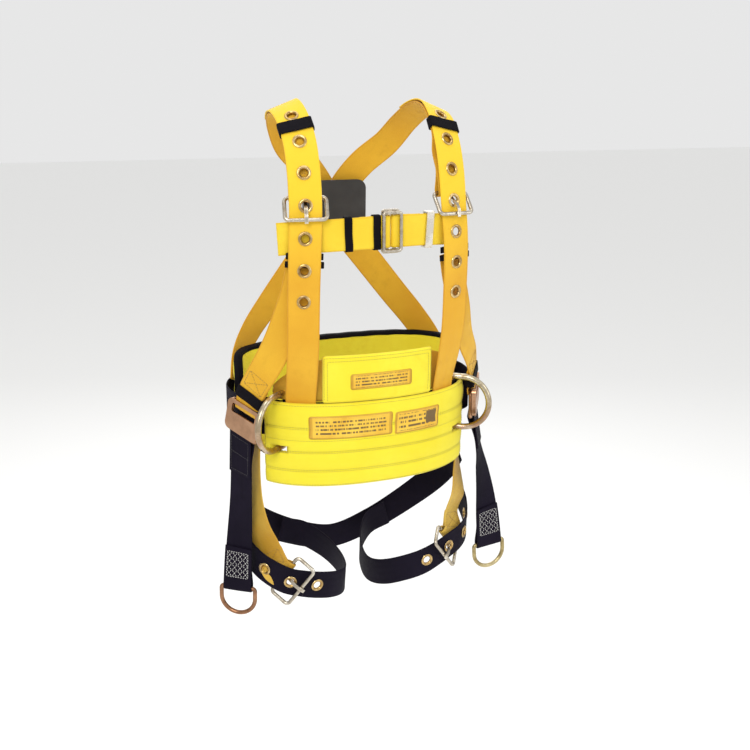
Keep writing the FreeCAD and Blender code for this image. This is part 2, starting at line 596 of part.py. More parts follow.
pad = bandSolid(-padAngle, padAngle, bellyBottom, beltTop, -7, 0)
slit = Part.makeBox(34, 40, 12)
for x in (-160, 126):
    slit.Placement.Base = Vec(x, -102, hipRingZ - hipRingHalf - 6)
    pad = pad.cut(slit)
pieces["belly_pad"] = pad
pieces["belly_panel"] = bandSolid(-panelAngle, panelAngle, beltTop + 0.5, panelTop, -6, -1)
pad = bandSolid(98, 262, -114, 63, -12, 0, False)
recess = Part.makeBox(96, 12, beltWebHeight + 22, Vec(-8, lumbarHalfDepth - 7.5, beltZ - beltWebHeight / 2 - 11))
pieces["lumbar_pad"] = pad.cut(recess)

# labels on the belly pad and panel
for name, x, z, wide, tall in labels:
    low, high = z - tall / 2, z + tall / 2
    spread = [math.degrees(math.asin((abs(edge) / beltHalfWidth) ** 1.15)) * (1 if edge > 0 else -1)
              for edge in (x - wide / 2, x + wide / 2)]
    lift = -1 if z > beltTop else 0
    pieces[name] = bandSolid(spread[0], spread[1], low, high, lift + 0.3, lift + 0.9)

# dorsal plate and D-ring behind the crossing
base = Vec(0, dorsalBar[0], dorsalBar[1])
turn = math.radians(dorsalRest)
down = Vec(0, math.cos(turn), -math.sin(turn))
ring = roundedLoop(dorsalHalf, 0, None, 10, dorsalRod, dorsalReach)
pieces["dorsal_d_ring"] = placed(ring, alignment(base, Vec(1, 0, 0), down * -1))
plate = Part.makeBox(104, 4.5, 96, Vec(-52, dorsalBar[0] - dorsalRod - 5, dorsalBar[1] - 48))
plate = plate.makeFillet(14, [e for e in plate.Edges if abs(e.tangentAt(e.FirstParameter).y) > 0.9])
pieces["dorsal_pad"] = plate

os.makedirs("parts", exist_ok=True)
for name, shape in pieces.items():
    shape.exportStep("parts/" + name + ".step")
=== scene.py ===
import math

import bmesh
import bpy
import numpy as np
from mathutils import Matrix, Vector


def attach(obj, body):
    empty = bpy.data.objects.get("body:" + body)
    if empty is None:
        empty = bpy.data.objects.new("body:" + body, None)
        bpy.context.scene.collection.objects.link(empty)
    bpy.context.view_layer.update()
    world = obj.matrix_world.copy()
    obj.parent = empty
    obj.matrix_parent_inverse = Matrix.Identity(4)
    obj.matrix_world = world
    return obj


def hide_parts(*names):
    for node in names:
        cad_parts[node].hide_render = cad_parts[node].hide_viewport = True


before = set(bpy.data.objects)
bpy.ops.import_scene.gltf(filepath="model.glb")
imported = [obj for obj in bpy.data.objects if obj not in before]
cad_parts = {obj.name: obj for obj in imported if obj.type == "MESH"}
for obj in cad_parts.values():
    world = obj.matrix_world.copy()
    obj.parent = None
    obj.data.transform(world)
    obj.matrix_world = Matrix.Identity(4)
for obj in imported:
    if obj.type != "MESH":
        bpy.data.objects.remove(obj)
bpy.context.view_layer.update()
mm = 0.001  # every shape below is worked out in millimetres

# camera, light and floor
cameraSetup = {"place": (-0.5011, -1.4064, 0.4942), "aim": (0.03371, 0.0, 0.02232), "roll": -0.7, "lens": 48.0}


def makeCamera(setup):
    data = bpy.data.cameras.new("camera")
    data.lens = setup["lens"]
    data.sensor_width = 36.0
    data.clip_start = 0.05
    camera = bpy.data.objects.new("camera", data)
    bpy.context.scene.collection.objects.link(camera)
    look = (Vector(setup["aim"]) - Vector(setup["place"])).normalized()
    turn = look.to_track_quat("-Z", "Y").to_matrix().to_4x4()
    spin = Matrix.Rotation(math.radians(-setup["roll"]), 4, "Z")
    camera.matrix_world = Matrix.Translation(setup["place"]) @ turn @ spin
    bpy.context.scene.camera = camera


makeCamera(cameraSetup)
lamps = {
    "key": {"place": (-1.5, -2.2, 2.0), "size": 1.4, "power": 46.0, "tint": (1.0, 0.97, 0.92)},
    "fill": {"place": (1.7, -1.7, 0.9), "size": 1.8, "power": 14.0, "tint": (0.95, 0.97, 1.0)},
    "top": {"place": (0.1, 0.4, 2.3), "size": 1.6, "power": 16.0, "tint": (1.0, 1.0, 1.0)},
    "back": {"place": (0.7, 2.1, 1.0), "size": 1.6, "power": 14.0, "tint": (1.0, 1.0, 1.0)},
}


stage = {"background": 0.8, "floorReach": 14.0, "floorHeight": -0.95, "floorPaint": (0.93, 0.93, 0.92, 1),
         "floorRough": 0.9}


def makeStage():
    bpy.context.scene.view_settings.view_transform = "Standard"  # dyes keep their full strength
    for name, lamp in lamps.items():
        data = bpy.data.lights.new(name, "AREA")
        data.size = lamp["size"]
        data.energy = lamp["power"]
        data.color = lamp["tint"]
        light = bpy.data.objects.new(name, data)
        light.matrix_world = (Matrix.Translation(lamp["place"])
                              @ (-Vector(lamp["place"])).to_track_quat("-Z", "Y").to_matrix().to_4x4())
        bpy.context.scene.collection.objects.link(light)
    world = bpy.data.worlds.new("studio")
    bpy.context.scene.world = world
    world.use_nodes = True
    sky = world.node_tree.nodes["Background"].inputs
    sky["Color"].default_value = (1.0, 1.0, 1.0, 1.0)
    sky["Strength"].default_value = stage["background"]
    mesh = bpy.data.meshes.new("floor")
    reach, low = stage["floorReach"], stage["floorHeight"]
    corners = [(-reach, -reach, low), (reach, -reach, low), (reach, reach, low), (-reach, reach, low)]
    mesh.from_pydata(corners, [], [(0, 1, 2, 3)])
    floor = bpy.data.objects.new("floor", mesh)
    bpy.context.scene.collection.objects.link(floor)
    paint = bpy.data.materials.new("studioFloor")
    paint.use_nodes = True
    shader = paint.node_tree.nodes["Principled BSDF"].inputs
    shader["Base Color"].default_value = stage["floorPaint"]
    shader["Roughness"].default_value = stage["floorRough"]
    mesh.materials.append(paint)


makeStage()
print("stage: camera, light and floor")


# shared effects
def newGroup(name, ins, outs):
    group = bpy.data.node_groups.new(name, "ShaderNodeTree")
    for label, kind, value in ins:
        socket = group.interface.new_socket(name=label, in_out="INPUT", socket_type="NodeSocket" + kind)
        if value is not None:
            socket.default_value = value
    for label, kind in outs:
        group.interface.new_socket(name=label, in_out="OUTPUT", socket_type="NodeSocket" + kind)
    return group, group.nodes.new("NodeGroupInput"), group.nodes.new("NodeGroupOutput")


class Graph:
    # adds nodes to one tree
    def __init__(self, tree):
        self.tree = tree

    def node(self, kind, **settings):
        made = self.tree.nodes.new("ShaderNode" + kind)
        for key, value in settings.items():
            setattr(made, key, value)
        return made

    def plug(self, value, socket):
        if isinstance(value, bpy.types.NodeSocket):
            self.tree.links.new(value, socket)
        elif value is not None:
            socket.default_value = value

    def math(self, operation, a, b=None, c=None, clamp=False):
        made = self.node("Math", operation=operation, use_clamp=clamp)
        for value, socket in zip((a, b, c), made.inputs):
            self.plug(value, socket)
        return made.outputs[0]

    def noise(self, vector, scale, detail=3.0, rough=0.5):
        made = self.node("TexNoise")
        self.plug(vector, made.inputs["Vector"])
        self.plug(scale, made.inputs["Scale"])
        made.inputs["Detail"].default_value = detail
        made.inputs["Roughness"].default_value = rough
        return made.outputs["Fac"]

    def stretch(self, value, low, high, toLow=0.0, toHigh=1.0):
        made = self.node("MapRange")
        for key, item in (("Value", value), ("From Min", low), ("From Max", high), ("To Min", toLow),
                          ("To Max", toHigh)):
            self.plug(item, made.inputs[key])
        return made.outputs[0]

    def mix(self, share, a, b):
        made = self.node("Mix", data_type="RGBA")
        self.plug(share, made.inputs[0])
        self.plug(a, made.inputs[6])
        self.plug(b, made.inputs[7])
        return made.outputs[2]

    def group(self, group, **values):
        made = self.node("Group", node_tree=group)
        for key, value in values.items():
            self.plug(value, made.inputs[key])
        return made

    def bump(self, height, strength, distance):
        made = self.node("Bump")
        made.inputs["Strength"].default_value = strength
        made.inputs["Distance"].default_value = distance
        self.plug(height, made.inputs["Height"])
        return made.outputs[0]

    def split(self, vector):
        made = self.node("SeparateXYZ")
        self.plug(vector, made.inputs[0])
        return made.outputs

    def near(self, value, centre, half):
        # 1 where the value lies within half of the centre
        return self.math("LESS_THAN", self.math("ABSOLUTE", self.math("SUBTRACT", value, centre)), half)


def weaveGroup():
    # ribbed webbing: weft ribs across the strap, warp cords along it, chevrons in the warp
    group, ins, outs = newGroup("webbingWeave", [("Vector", "Vector", None), ("Rib", "Float", 0.0016),
                                                 ("Cord", "Float", 0.0011), ("Chevron", "Float", 0.011)],
                                [("Height", "Float"), ("Shade", "Float")])
    g = Graph(group)
    across, along = g.split(ins.outputs["Vector"])[:2]
    # zigzag shift makes the chevrons
    zig = g.math("PINGPONG", across, g.math("MULTIPLY", ins.outputs["Chevron"], 0.5))
    shifted = g.math("ADD", along, g.math("MULTIPLY", zig, 0.55))
    rib = g.math("SINE", g.math("MULTIPLY", g.math("DIVIDE", shifted, ins.outputs["Rib"]), 2 * math.pi))
    rib = g.math("MULTIPLY_ADD", rib, 0.5, 0.5)
    cord = g.math("SINE", g.math("MULTIPLY", g.math("DIVIDE", across, ins.outputs["Cord"]), 2 * math.pi))
    cord = g.math("MULTIPLY_ADD", cord, 0.5, 0.5)
    height = g.math("MULTIPLY", g.math("POWER", rib, 0.7), g.math("MULTIPLY_ADD", cord, 0.45, 0.55))
    fuzz = g.noise(ins.outputs["Vector"], 900.0, 2.0)
    g.plug(g.math("MULTIPLY_ADD", fuzz, 0.25, height), outs.inputs["Height"])
    g.plug(g.math("MULTIPLY_ADD", height, 0.6, g.math("MULTIPLY", fuzz, 0.4)), outs.inputs["Shade"])
    return group


def soilGroup():
    # slow patches of fading and handling marks
    group, ins, outs = newGroup("fadeAndSoil", [("Vector", "Vector", None), ("Scale", "Float", 9.0)],
                                [("Fade", "Float"), ("Soil", "Float")])
    g = Graph(group)
    wide = g.noise(ins.outputs["Vector"], ins.outputs["Scale"], 3.0)
    fine = g.noise(ins.outputs["Vector"], g.math("MULTIPLY", ins.outputs["Scale"], 7.0), 4.0, 0.65)
    g.plug(g.stretch(wide, 0.32, 0.68), outs.inputs["Fade"])
    g.plug(g.math("POWER", g.stretch(g.math("MULTIPLY", wide, fine), 0.2, 0.42), 2.0), outs.inputs["Soil"])
    return group


def wearGroup():
    # bright rubbed edges and dull hollows on plated metal
    group, ins, outs = newGroup("platingWear", [("Vector", "Vector", None), ("Scale", "Float", 60.0),
                                                ("Amount", "Float", 0.5)],
                                [("Rubbed", "Float"), ("Dull", "Float"), ("Height", "Float")])
    g = Graph(group)
    point = g.node("NewGeometry").outputs["Pointiness"]
    edge = g.stretch(point, 0.5, 0.56)
    speck = g.noise(ins.outputs["Vector"], ins.outputs["Scale"], 5.0, 0.65)
    cloud = g.noise(ins.outputs["Vector"], g.math("MULTIPLY", ins.outputs["Scale"], 0.22), 3.0)
    rubbed = g.math("ADD", edge, g.stretch(cloud, 0.5, 0.72))
    rubbed = g.math("MULTIPLY", rubbed, ins.outputs["Amount"], clamp=True)
    g.plug(rubbed, outs.inputs["Rubbed"])
    g.plug(g.stretch(speck, 0.42, 0.7), outs.inputs["Dull"])
    g.plug(speck, outs.inputs["Height"])
    return group


weave, soil, wear = weaveGroup(), soilGroup(), wearGroup()


def newMaterial(name):
    made = bpy.data.materials.new(name)
    made.use_nodes = True
    return made, Graph(made.node_tree), made.node_tree.nodes["Principled BSDF"]


# edge in these looks sets painted shade along the strap edges
webbingLooks = {
    # frontWebbing's lighter top colour is a painted highlight: a lighter yellow for the top of the strap, where
    # light falls from above
    "frontWebbing": {"thread": (0.80, 0.43, 0.022), "deep": (0.56, 0.25, 0.008), "fade": (0.86, 0.52, 0.035),
                     "rib": 0.0016, "upper": (0.90, 0.62, 0.024), "edge": 0.55},
    "goldWebbing": {"thread": (0.80, 0.44, 0.022), "deep": (0.52, 0.24, 0.008), "fade": (0.86, 0.54, 0.035),
                    "rib": 0.0016, "edge": 0.6},
    "brightWebbing": {"thread": (0.90, 0.65, 0.03), "deep": (0.66, 0.40, 0.01), "fade": (0.93, 0.72, 0.05),
                      "rib": 0.0016, "edge": 0.6},
    "darkWebbing": {"thread": (0.006, 0.0035, 0.013), "deep": (0.0012, 0.0008, 0.003),
                    "fade": (0.012, 0.008, 0.022), "rib": 0.0018, "sheen": 0.0, "gloss": 0.1},
    "elasticBand": {"thread": (0.004, 0.003, 0.006), "deep": (0.001, 0.001, 0.0015),
                    "fade": (0.009, 0.007, 0.011), "rib": 0.0011, "sheen": 0.0, "gloss": 0.08},
    "lemonCover": {"thread": (0.92, 0.80, 0.03), "deep": (0.74, 0.58, 0.012), "fade": (0.94, 0.86, 0.06),
                   "rib": 0.0009},
    "satinGold": {"thread": (0.72, 0.40, 0.012), "deep": (0.30, 0.13, 0.004), "fade": (0.86, 0.66, 0.12),
                  "rib": 0.0012, "gloss": 0.6, "crease": 0.6},
    "tanFlap": {"thread": (0.70, 0.42, 0.03), "deep": (0.40, 0.20, 0.01), "fade": (0.80, 0.55, 0.07), "rib": 0.0010},
}
# fading, soiling and creases of the cloth, plus painted light: a painted highlight on the top of the front strap and
# painted shade along the strap edges
clothAgeAndPaintedLight = {"markScale": 10.0, "fadeShare": 0.55, "soilShare": 0.35, "paintedEdgeShade": (0.0196, 0.0216),
            "upperFrom": 0.20, "upperTo": 0.32, "upperShare": 0.75, "creaseScale": 75.0, "creaseDepth": 14.0}


def webbingMaterial(name, look):
    made, g, shader = newMaterial(name)
    uv = g.node("UVMap", uv_map="strapUV").outputs[0]
    place = g.node("TexCoord").outputs["Object"]
    cloth = g.group(weave, Vector=uv, Rib=look["rib"])
    marks = g.group(soil, Vector=place, Scale=clothAgeAndPaintedLight["markScale"])
    colour = g.mix(g.stretch(cloth.outputs["Shade"], 0.15, 0.75), (*look["deep"], 1), (*look["thread"], 1))
    colour = g.mix(g.math("MULTIPLY", marks.outputs["Fade"], clothAgeAndPaintedLight["fadeShare"]), colour, (*look["fade"], 1))
    colour = g.mix(g.math("MULTIPLY", marks.outputs["Soil"], clothAgeAndPaintedLight["soilShare"]), colour, (*look["deep"], 1))
    # painted shade: the colour darkens towards the deep colour along both edges of the strap
    edge = g.stretch(g.math("ABSOLUTE", g.split(uv)[0]), *clothAgeAndPaintedLight["paintedEdgeShade"])
    colour = g.mix(g.math("MULTIPLY", edge, look.get("edge", 0.0)), colour, (*look["deep"], 1))
    # painted highlight: the strap is blended to a lighter yellow towards its top, by height
    if "upper" in look:
        height = g.split(place)[2]
        high = g.stretch(height, clothAgeAndPaintedLight["upperFrom"], clothAgeAndPaintedLight["upperTo"], 0.0, clothAgeAndPaintedLight["upperShare"])
        colour = g.mix(high, colour, (*look["upper"], 1))
    g.plug(colour, shader.inputs["Base Color"])
    g.plug(g.stretch(cloth.outputs["Height"], 0.0, 1.0, 0.78, 0.6), shader.inputs["Roughness"])
    height = cloth.outputs["Height"]
    if "crease" in look:
        folds = g.noise(place, clothAgeAndPaintedLight["creaseScale"], 3.0)
        height = g.math("ADD", g.math("MULTIPLY", folds, clothAgeAndPaintedLight["creaseDepth"] * look["crease"]), height)
    g.plug(g.bump(height, 0.55, 0.0004), shader.inputs["Normal"])
    shader.inputs["Sheen Weight"].default_value = look.get("sheen", 0.12)
    shader.inputs["Sheen Roughness"].default_value = 0.45
    shader.inputs["Specular IOR Level"].default_value = look.get("gloss", 0.3)
    return made


metalLooks = {
    "zincSteel": {"base": (0.50, 0.45, 0.37), "rub": (0.78, 0.73, 0.64), "dull": (0.22, 0.17, 0.11),
                  "rough": 0.24},
    "bronzePlate": {"base": (0.30, 0.145, 0.075), "rub": (0.52, 0.31, 0.19), "dull": (0.13, 0.06, 0.03),
                    "rough": 0.28},
    "goldPlate": {"base": (0.42, 0.33, 0.15), "rub": (0.70, 0.60, 0.36), "dull": (0.20, 0.14, 0.05),
                  "rough": 0.25},
    # the hip D-rings' plate is painted light: the base colour stands for a painted highlight on the top part, the
    # bronze for painted shade below it
    "ringPlate": {"base": (0.50, 0.43, 0.30), "rub": (0.78, 0.70, 0.52), "dull": (0.22, 0.15, 0.07),
                  "rough": 0.22, "lower": (0.33, 0.155, 0.085),
                  "paintedLightHeights": (-0.032, 0.012)},
    "grommetBrass": {"base": (0.52, 0.34, 0.12), "rub": (0.80, 0.62, 0.32), "dull": (0.16, 0.08, 0.03),
                     "rough": 0.22},
}


def metalMaterial(name, look):
    made, g, shader = newMaterial(name)
    place = g.node("TexCoord").outputs["Object"]
    worn = g.group(wear, Vector=place, Scale=120.0, Amount=0.65)
    plate = (*look["base"], 1)
    # painted highlight and shade: darker bronze below, the lighter base colour above, by height
    if "lower" in look:
        plate = g.mix(g.stretch(g.split(place)[2], *look["paintedLightHeights"]), (*look["lower"], 1), plate)
    colour = g.mix(worn.outputs["Dull"], plate, (*look["dull"], 1))
    colour = g.mix(worn.outputs["Rubbed"], colour, (*look["rub"], 1))
    g.plug(colour, shader.inputs["Base Color"])
    rough = g.stretch(worn.outputs["Dull"], 0.0, 1.0, look["rough"], look["rough"] + 0.22)
    g.plug(rough, shader.inputs["Roughness"])
    g.plug(g.bump(worn.outputs["Height"], 0.12, 0.0004), shader.inputs["Normal"])
    shader.inputs["Metallic"].default_value = 1.0
    return made


threadLooks = {
    "whiteThread": ((0.80, 0.79, 0.76), (0.42, 0.41, 0.40)),
    "amberThread": ((0.46, 0.26, 0.03), (0.22, 0.11, 0.01)),
    "limeThread": ((0.55, 0.50, 0.04), (0.32, 0.27, 0.01)),
    "blackThread": ((0.02, 0.018, 0.02), (0.006, 0.005, 0.006)),
}


def threadMaterial(name, thread, deep):
    made, g, shader = newMaterial(name)
    place = g.node("TexCoord").outputs["Object"]
    twist = g.noise(place, 2600.0, 2.0)
    g.plug(g.mix(g.stretch(twist, 0.35, 0.65), (*deep, 1), (*thread, 1)), shader.inputs["Base Color"])
    g.plug(g.bump(twist, 0.4, 0.0002), shader.inputs["Normal"])
    shader.inputs["Roughness"].default_value = 0.6
    shader.inputs["Sheen Weight"].default_value = 0.3
    return made


materials = {name: webbingMaterial(name, look) for name, look in webbingLooks.items()}
materials.update({name: metalMaterial(name, look) for name, look in metalLooks.items()})
materials.update({name: threadMaterial(name, *shades) for name, shades in threadLooks.items()})
print("materials:", ", ".join(materials))


# strap lines: the same points on the wearer that the frame's webs follow, in millimetres
def smoothRows(knots, step):
    rows = np.array(knots, float)
    space = min(3, rows.shape[1])
    rows = np.vstack([2 * rows[0] - rows[1], rows, 2 * rows[-1] - rows[-2]])
    found = []
    for i in range(1, len(rows) - 2):
        four = rows[i - 1:i + 3]
        gaps = [math.sqrt(np.linalg.norm((b - a)[:space])) + 1e-6 for a, b in zip(four, four[1:])]
        times = [0, gaps[0], gaps[0] + gaps[1], sum(gaps)]
        count = max(1, round(gaps[1] ** 2 / step))
        for j in range(count):
            t = times[1] + gaps[1] * j / count

            def mix(a, b, start, end):
                return a * (end - t) / (end - start) + b * (t - start) / (end - start)

            ab = mix(four[0], four[1], times[0], times[1])
            bc = mix(four[1], four[2], times[1], times[2])
            cd = mix(four[2], four[3], times[2], times[3])
            found.append(mix(mix(ab, bc, times[0], times[2]), mix(bc, cd, times[1], times[3]), times[1], times[2]))
    found.append(rows[-2])
    return np.array(found)


def unitRows(rows):
    return rows / np.maximum(np.linalg.norm(rows, axis=-1, keepdims=True), 1e-9)


class StrapLine:
    # a smooth line on the wearer; at(s) gives points with their along, out and across directions
    def __init__(self, knots, side=1):
        rows = []
        for place, out in knots:
            out = Vector((out[0] * side, out[1], out[2])).normalized()
            rows.append((place[0] * side, place[1], place[2], *out))
        rows = smoothRows(rows, 4.0)
        self.points = rows[:, :3]
        self.stations = np.concatenate([[0], np.cumsum(np.linalg.norm(np.diff(self.points, axis=0), axis=1))])
        self.length = self.stations[-1]
        ahead = np.vstack([self.points[1:], self.points[-1:]])
        behind = np.vstack([self.points[:1], self.points[:-1]])
        self.alongs = unitRows(ahead - behind)
        hints = rows[:, 3:]
        self.outs = unitRows(hints - self.alongs * (hints * self.alongs).sum(1, keepdims=True))

    def at(self, s):
        s = np.atleast_1d(np.asarray(s, float))
        inside = np.clip(s, 0, self.length)
        point = np.stack([np.interp(inside, self.stations, self.points[:, k]) for k in range(3)], 1)
        along = unitRows(np.stack([np.interp(inside, self.stations, self.alongs[:, k]) for k in range(3)], 1))
        point = point + along * (s - inside)[:, None]
        out = np.stack([np.interp(inside, self.stations, self.outs[:, k]) for k in range(3)], 1)
        out = unitRows(out - along * (out * along).sum(1, keepdims=True))
        return point, along, out, np.cross(along, out)

    def nearest(self, place):
        return float(self.stations[np.argmin(np.linalg.norm(self.points - np.array(place, float), axis=1))])

    def spot(self, s, n=0.0):
        point, along, out, across = (rows[0] for rows in self.at(s))
        matrix = Matrix(np.column_stack([across, along, out]).tolist()).to_4x4()
        matrix.translation = Vector((point + out * n).tolist())
        return matrix


def circlePart(s, n, radius, start, end, count=9):
    angles = np.radians(np.linspace(start, end, count))
    return [(s + radius * math.cos(a), n + radius * math.sin(a)) for a in angles]


webSizes = {"width": 45.0, "thick": 2.2, "pitch": 44.0, "drop": 30.0, "pivotIn": -8.7, "under": -4.2, "wrap": 4.5,
            "tongueHole": 18.5, "lean": 90.0, "hole": 6.3, "seamHalf": 17, "slot": (8, 16, 14)}


def foldPath(bar, way, top, radius=webSizes["wrap"], tail=48.0):
    under = top - webSizes["thick"] - 0.5
    return ([(bar + way * 14, top), (bar + way * 6, top)]
            + circlePart(bar, top - radius, radius, 90, 270 if way > 0 else -90)
            + [(bar + way * 7, top - 2 * radius + 0.6), (bar + way * 20, under - 2.2), (bar + way * 32, under),
               (bar + way * tail, under)])


def finishMesh(name, verts, faces, uvs, paint):
    # verts in millimetres; uvs is one pair per vertex, in metres of cloth
    mesh = bpy.data.meshes.new(name)
    mesh.from_pydata([tuple(v) for v in np.asarray(verts) * mm], [], faces)
    if uvs is not None:
        layer = mesh.uv_layers.new(name="strapUV")
        index = np.empty(len(mesh.loops), int)
        mesh.loops.foreach_get("vertex_index", index)
        layer.data.foreach_set("uv", np.asarray(uvs, float)[index].ravel())
    mesh.materials.append(materials[paint])
    mesh.shade_smooth()
    piece = bpy.data.objects.new(name, mesh)
    bpy.context.scene.collection.objects.link(piece)
    return piece


def faceOutward(piece):
    flip = bmesh.new()
    flip.from_mesh(piece.data)
    bmesh.ops.recalc_face_normals(flip, faces=flip.faces)
    flip.to_mesh(piece.data)
    flip.free()


def ringFaces(rings, size, closed=True):
    # quads between rings of vertices; the last ring meets the first one where the tube is closed
    return [(i * size + k, i * size + (k + 1) % size, (i + 1) % rings * size + (k + 1) % size, (i + 1) % rings * size + k)
            for i in range(rings if closed else rings - 1) for k in range(size)]


def sheetFaces(columns, rows):
    # both sides and the rim of a thin sheet, whose second side follows its first in the list of vertices
    size = (rows + 1) * (columns + 1)
    faces = []
    for j in range(rows):
        for i in range(columns):
            a = j * (columns + 1) + i
            loop = (a, a + 1, a + columns + 2, a + columns + 1)
            faces += [loop, tuple(size + k for k in loop[::-1])]
    border = ([(i, 0) for i in range(columns)] + [(columns, j) for j in range(rows)]
              + [(i, rows) for i in range(columns, 0, -1)] + [(0, j) for j in range(rows, 0, -1)])
    index = [j * (columns + 1) + i for i, j in border]
    return faces + [(a, size + a, size + b, b) for a, b in zip(index, index[1:] + index[:1])]


def cutAway(piece, cutter):
    # takes the cutter, a bmesh in millimetres, out of a piece
    bmesh.ops.scale(cutter, vec=(mm, mm, mm), verts=cutter.verts)
    mesh = bpy.data.meshes.new("cutter")
    cutter.to_mesh(mesh)
    cutter.free()
    tool = bpy.data.objects.new("cutter", mesh)
    bpy.context.scene.collection.objects.link(tool)
    cut = piece.modifiers.new("opening", "BOOLEAN")
    cut.operation, cut.solver, cut.object = "DIFFERENCE", "EXACT", tool
    graph = bpy.context.evaluated_depsgraph_get()
    made = bpy.data.meshes.new_from_object(piece.evaluated_get(graph))
    old = piece.data
    piece.modifiers.clear()
    piece.data = made
    bpy.data.meshes.remove(old)
    bpy.data.objects.remove(tool)
    bpy.data.meshes.remove(mesh)


def punch(piece, line, holes):
    # round holes where the eyelets stand
    cutter = bmesh.new()
    for s in holes:
        matrix = line.spot(s) @ Matrix.Translation((0, 0, 1.9))
        bmesh.ops.create_cone(cutter, cap_ends=True, segments=28, radius1=webSizes["hole"], radius2=webSizes["hole"],
                              depth=8.4, matrix=matrix)
    cutAway(piece, cutter)


def carveSlot(piece, matrix, size, place):
    # a box-shaped opening, in the hardware's own axes
    cutter = bmesh.new()
    bmesh.ops.create_cube(cutter, size=1.0, matrix=matrix @ Matrix.Translation(place) @ Matrix.Diagonal((*size, 1)))
    cutAway(piece, cutter)


class Web:
    # one length of webbing: its centre path in (station, out) on a strap line
    def __init__(self, line, path, width=webSizes["width"], thick=webSizes["thick"], sway=0.35, seed=1, bar=None):
        # bar: the web lies square to this direction at its start, and to its line further on
        self.line, self.width, self.thick = line, width, thick
        rows = smoothRows([(s, n, 0.0) for s, n in path], 4.0)[:, :2]
        turn = np.vstack([rows[1:], rows[-1:]]) - np.vstack([rows[:1], rows[:-1]])
        turn = turn / np.linalg.norm(turn, axis=1, keepdims=True)
        point, along, out, across = line.at(rows[:, 0])
        if bar is not None:
            share = np.clip(1.6 * (1 - rows[:, :1] / webSizes["lean"]), 0, 1)
            across = unitRows(across * (1 - share) + np.asarray(bar) * share)
            out = unitRows(out - across * (out * across).sum(1, keepdims=True))
            along = np.cross(out, across)
        self.rows, self.across = rows, across
        self.face = out * turn[:, :1] - along * turn[:, 1:]
        self.centre = point + out * rows[:, 1:]
        self.run = np.concatenate([[0], np.cumsum(np.linalg.norm(np.diff(self.centre, axis=0), axis=1))])
        source = np.random.default_rng(seed)
        waves = source.uniform(0, 2 * math.pi, 4)
        self.bow = sway * (np.sin(self.run / 31 + waves[0]) * 0.5 + np.sin(self.run / 13.0 + waves[1]) * 0.3)
        self.cup = sway * (np.sin(self.run / 47 + waves[2]) * 0.7 + np.sin(self.run / 19 + waves[3]) * 0.5)

    def outline(self):
        # half circle selvedges with slightly thicker rolled edges
        half, r = self.width / 2, self.thick / 2
        flat = np.linspace(-(half - r), half - r, 15)
        swell = 0.12 * np.exp(-((np.abs(flat) - (half - 2.2)) / 1.3) ** 2)
        angles = np.radians(np.linspace(90, -90, 7)[1:-1])
        right = [(half - r + r * math.cos(a), r * math.sin(a)) for a in angles]
        top = list(zip(flat, r * 0.94 + swell))
        low = [(x, -z) for x, z in top[::-1]]
        left = [(-x, -z) for x, z in right]
        return np.array(top + right + low + left)

    def mesh(self, name, paint, holes=()):
        shape = self.outline()
        count, size = len(self.centre), len(shape)
        arch = self.cup[:, None] * ((shape[None, :, 0] / (self.width / 2)) ** 2)
        lift = shape[None, :, 1] + self.bow[:, None] * 0.6 + arch
        verts = (self.centre[:, None, :] + self.across[:, None, :] * shape[None, :, :1]
                 + self.face[:, None, :] * lift[..., None])
        uvs = np.stack([np.broadcast_to(shape[None, :, 0], (count, size)),
                        np.broadcast_to(self.run[:, None], (count, size))], -1) * mm
        ends = [tuple(range(size))[::-1], tuple(range((count - 1) * size, count * size))]
        faces = ringFaces(count, size, closed=False) + ends
        piece = finishMesh(name, verts.reshape(-1, 3), faces, uvs.reshape(-1, 2), paint)
        faceOutward(piece)
        if len(holes):
            punch(piece, self.line, holes)
        return piece

    def surface(self, x, run, above=0.0):
        # points on the top face (above > 0) or the bottom face (below): x across, run along the web
        run = np.asarray(run, float)
        x = np.broadcast_to(np.asarray(x, float), run.shape)
        pick = [np.stack([np.interp(run, self.run, rows[:, k]) for k in range(3)], -1)
                for rows in (self.centre, self.across, self.face)]
        way = 1 if above >= 0 else -1
        cup = np.interp(run, self.run, self.cup) * (x / (self.width / 2)) ** 2
        cup = cup + np.interp(run, self.run, self.bow) * 0.6
        lift = way * self.thick / 2 * 0.94 + above + cup
        face = unitRows(pick[2])
        return pick[0] + pick[1] * x[..., None] + face * lift[..., None], face * way

    def runAt(self, s, after=0.0):
        # run length where the web's path reaches station s, at or past a given run
        ok = self.run >= after
        index = np.flatnonzero(ok)
        return float(self.run[index[np.argmin(np.abs(self.rows[index, 0] - s))]])


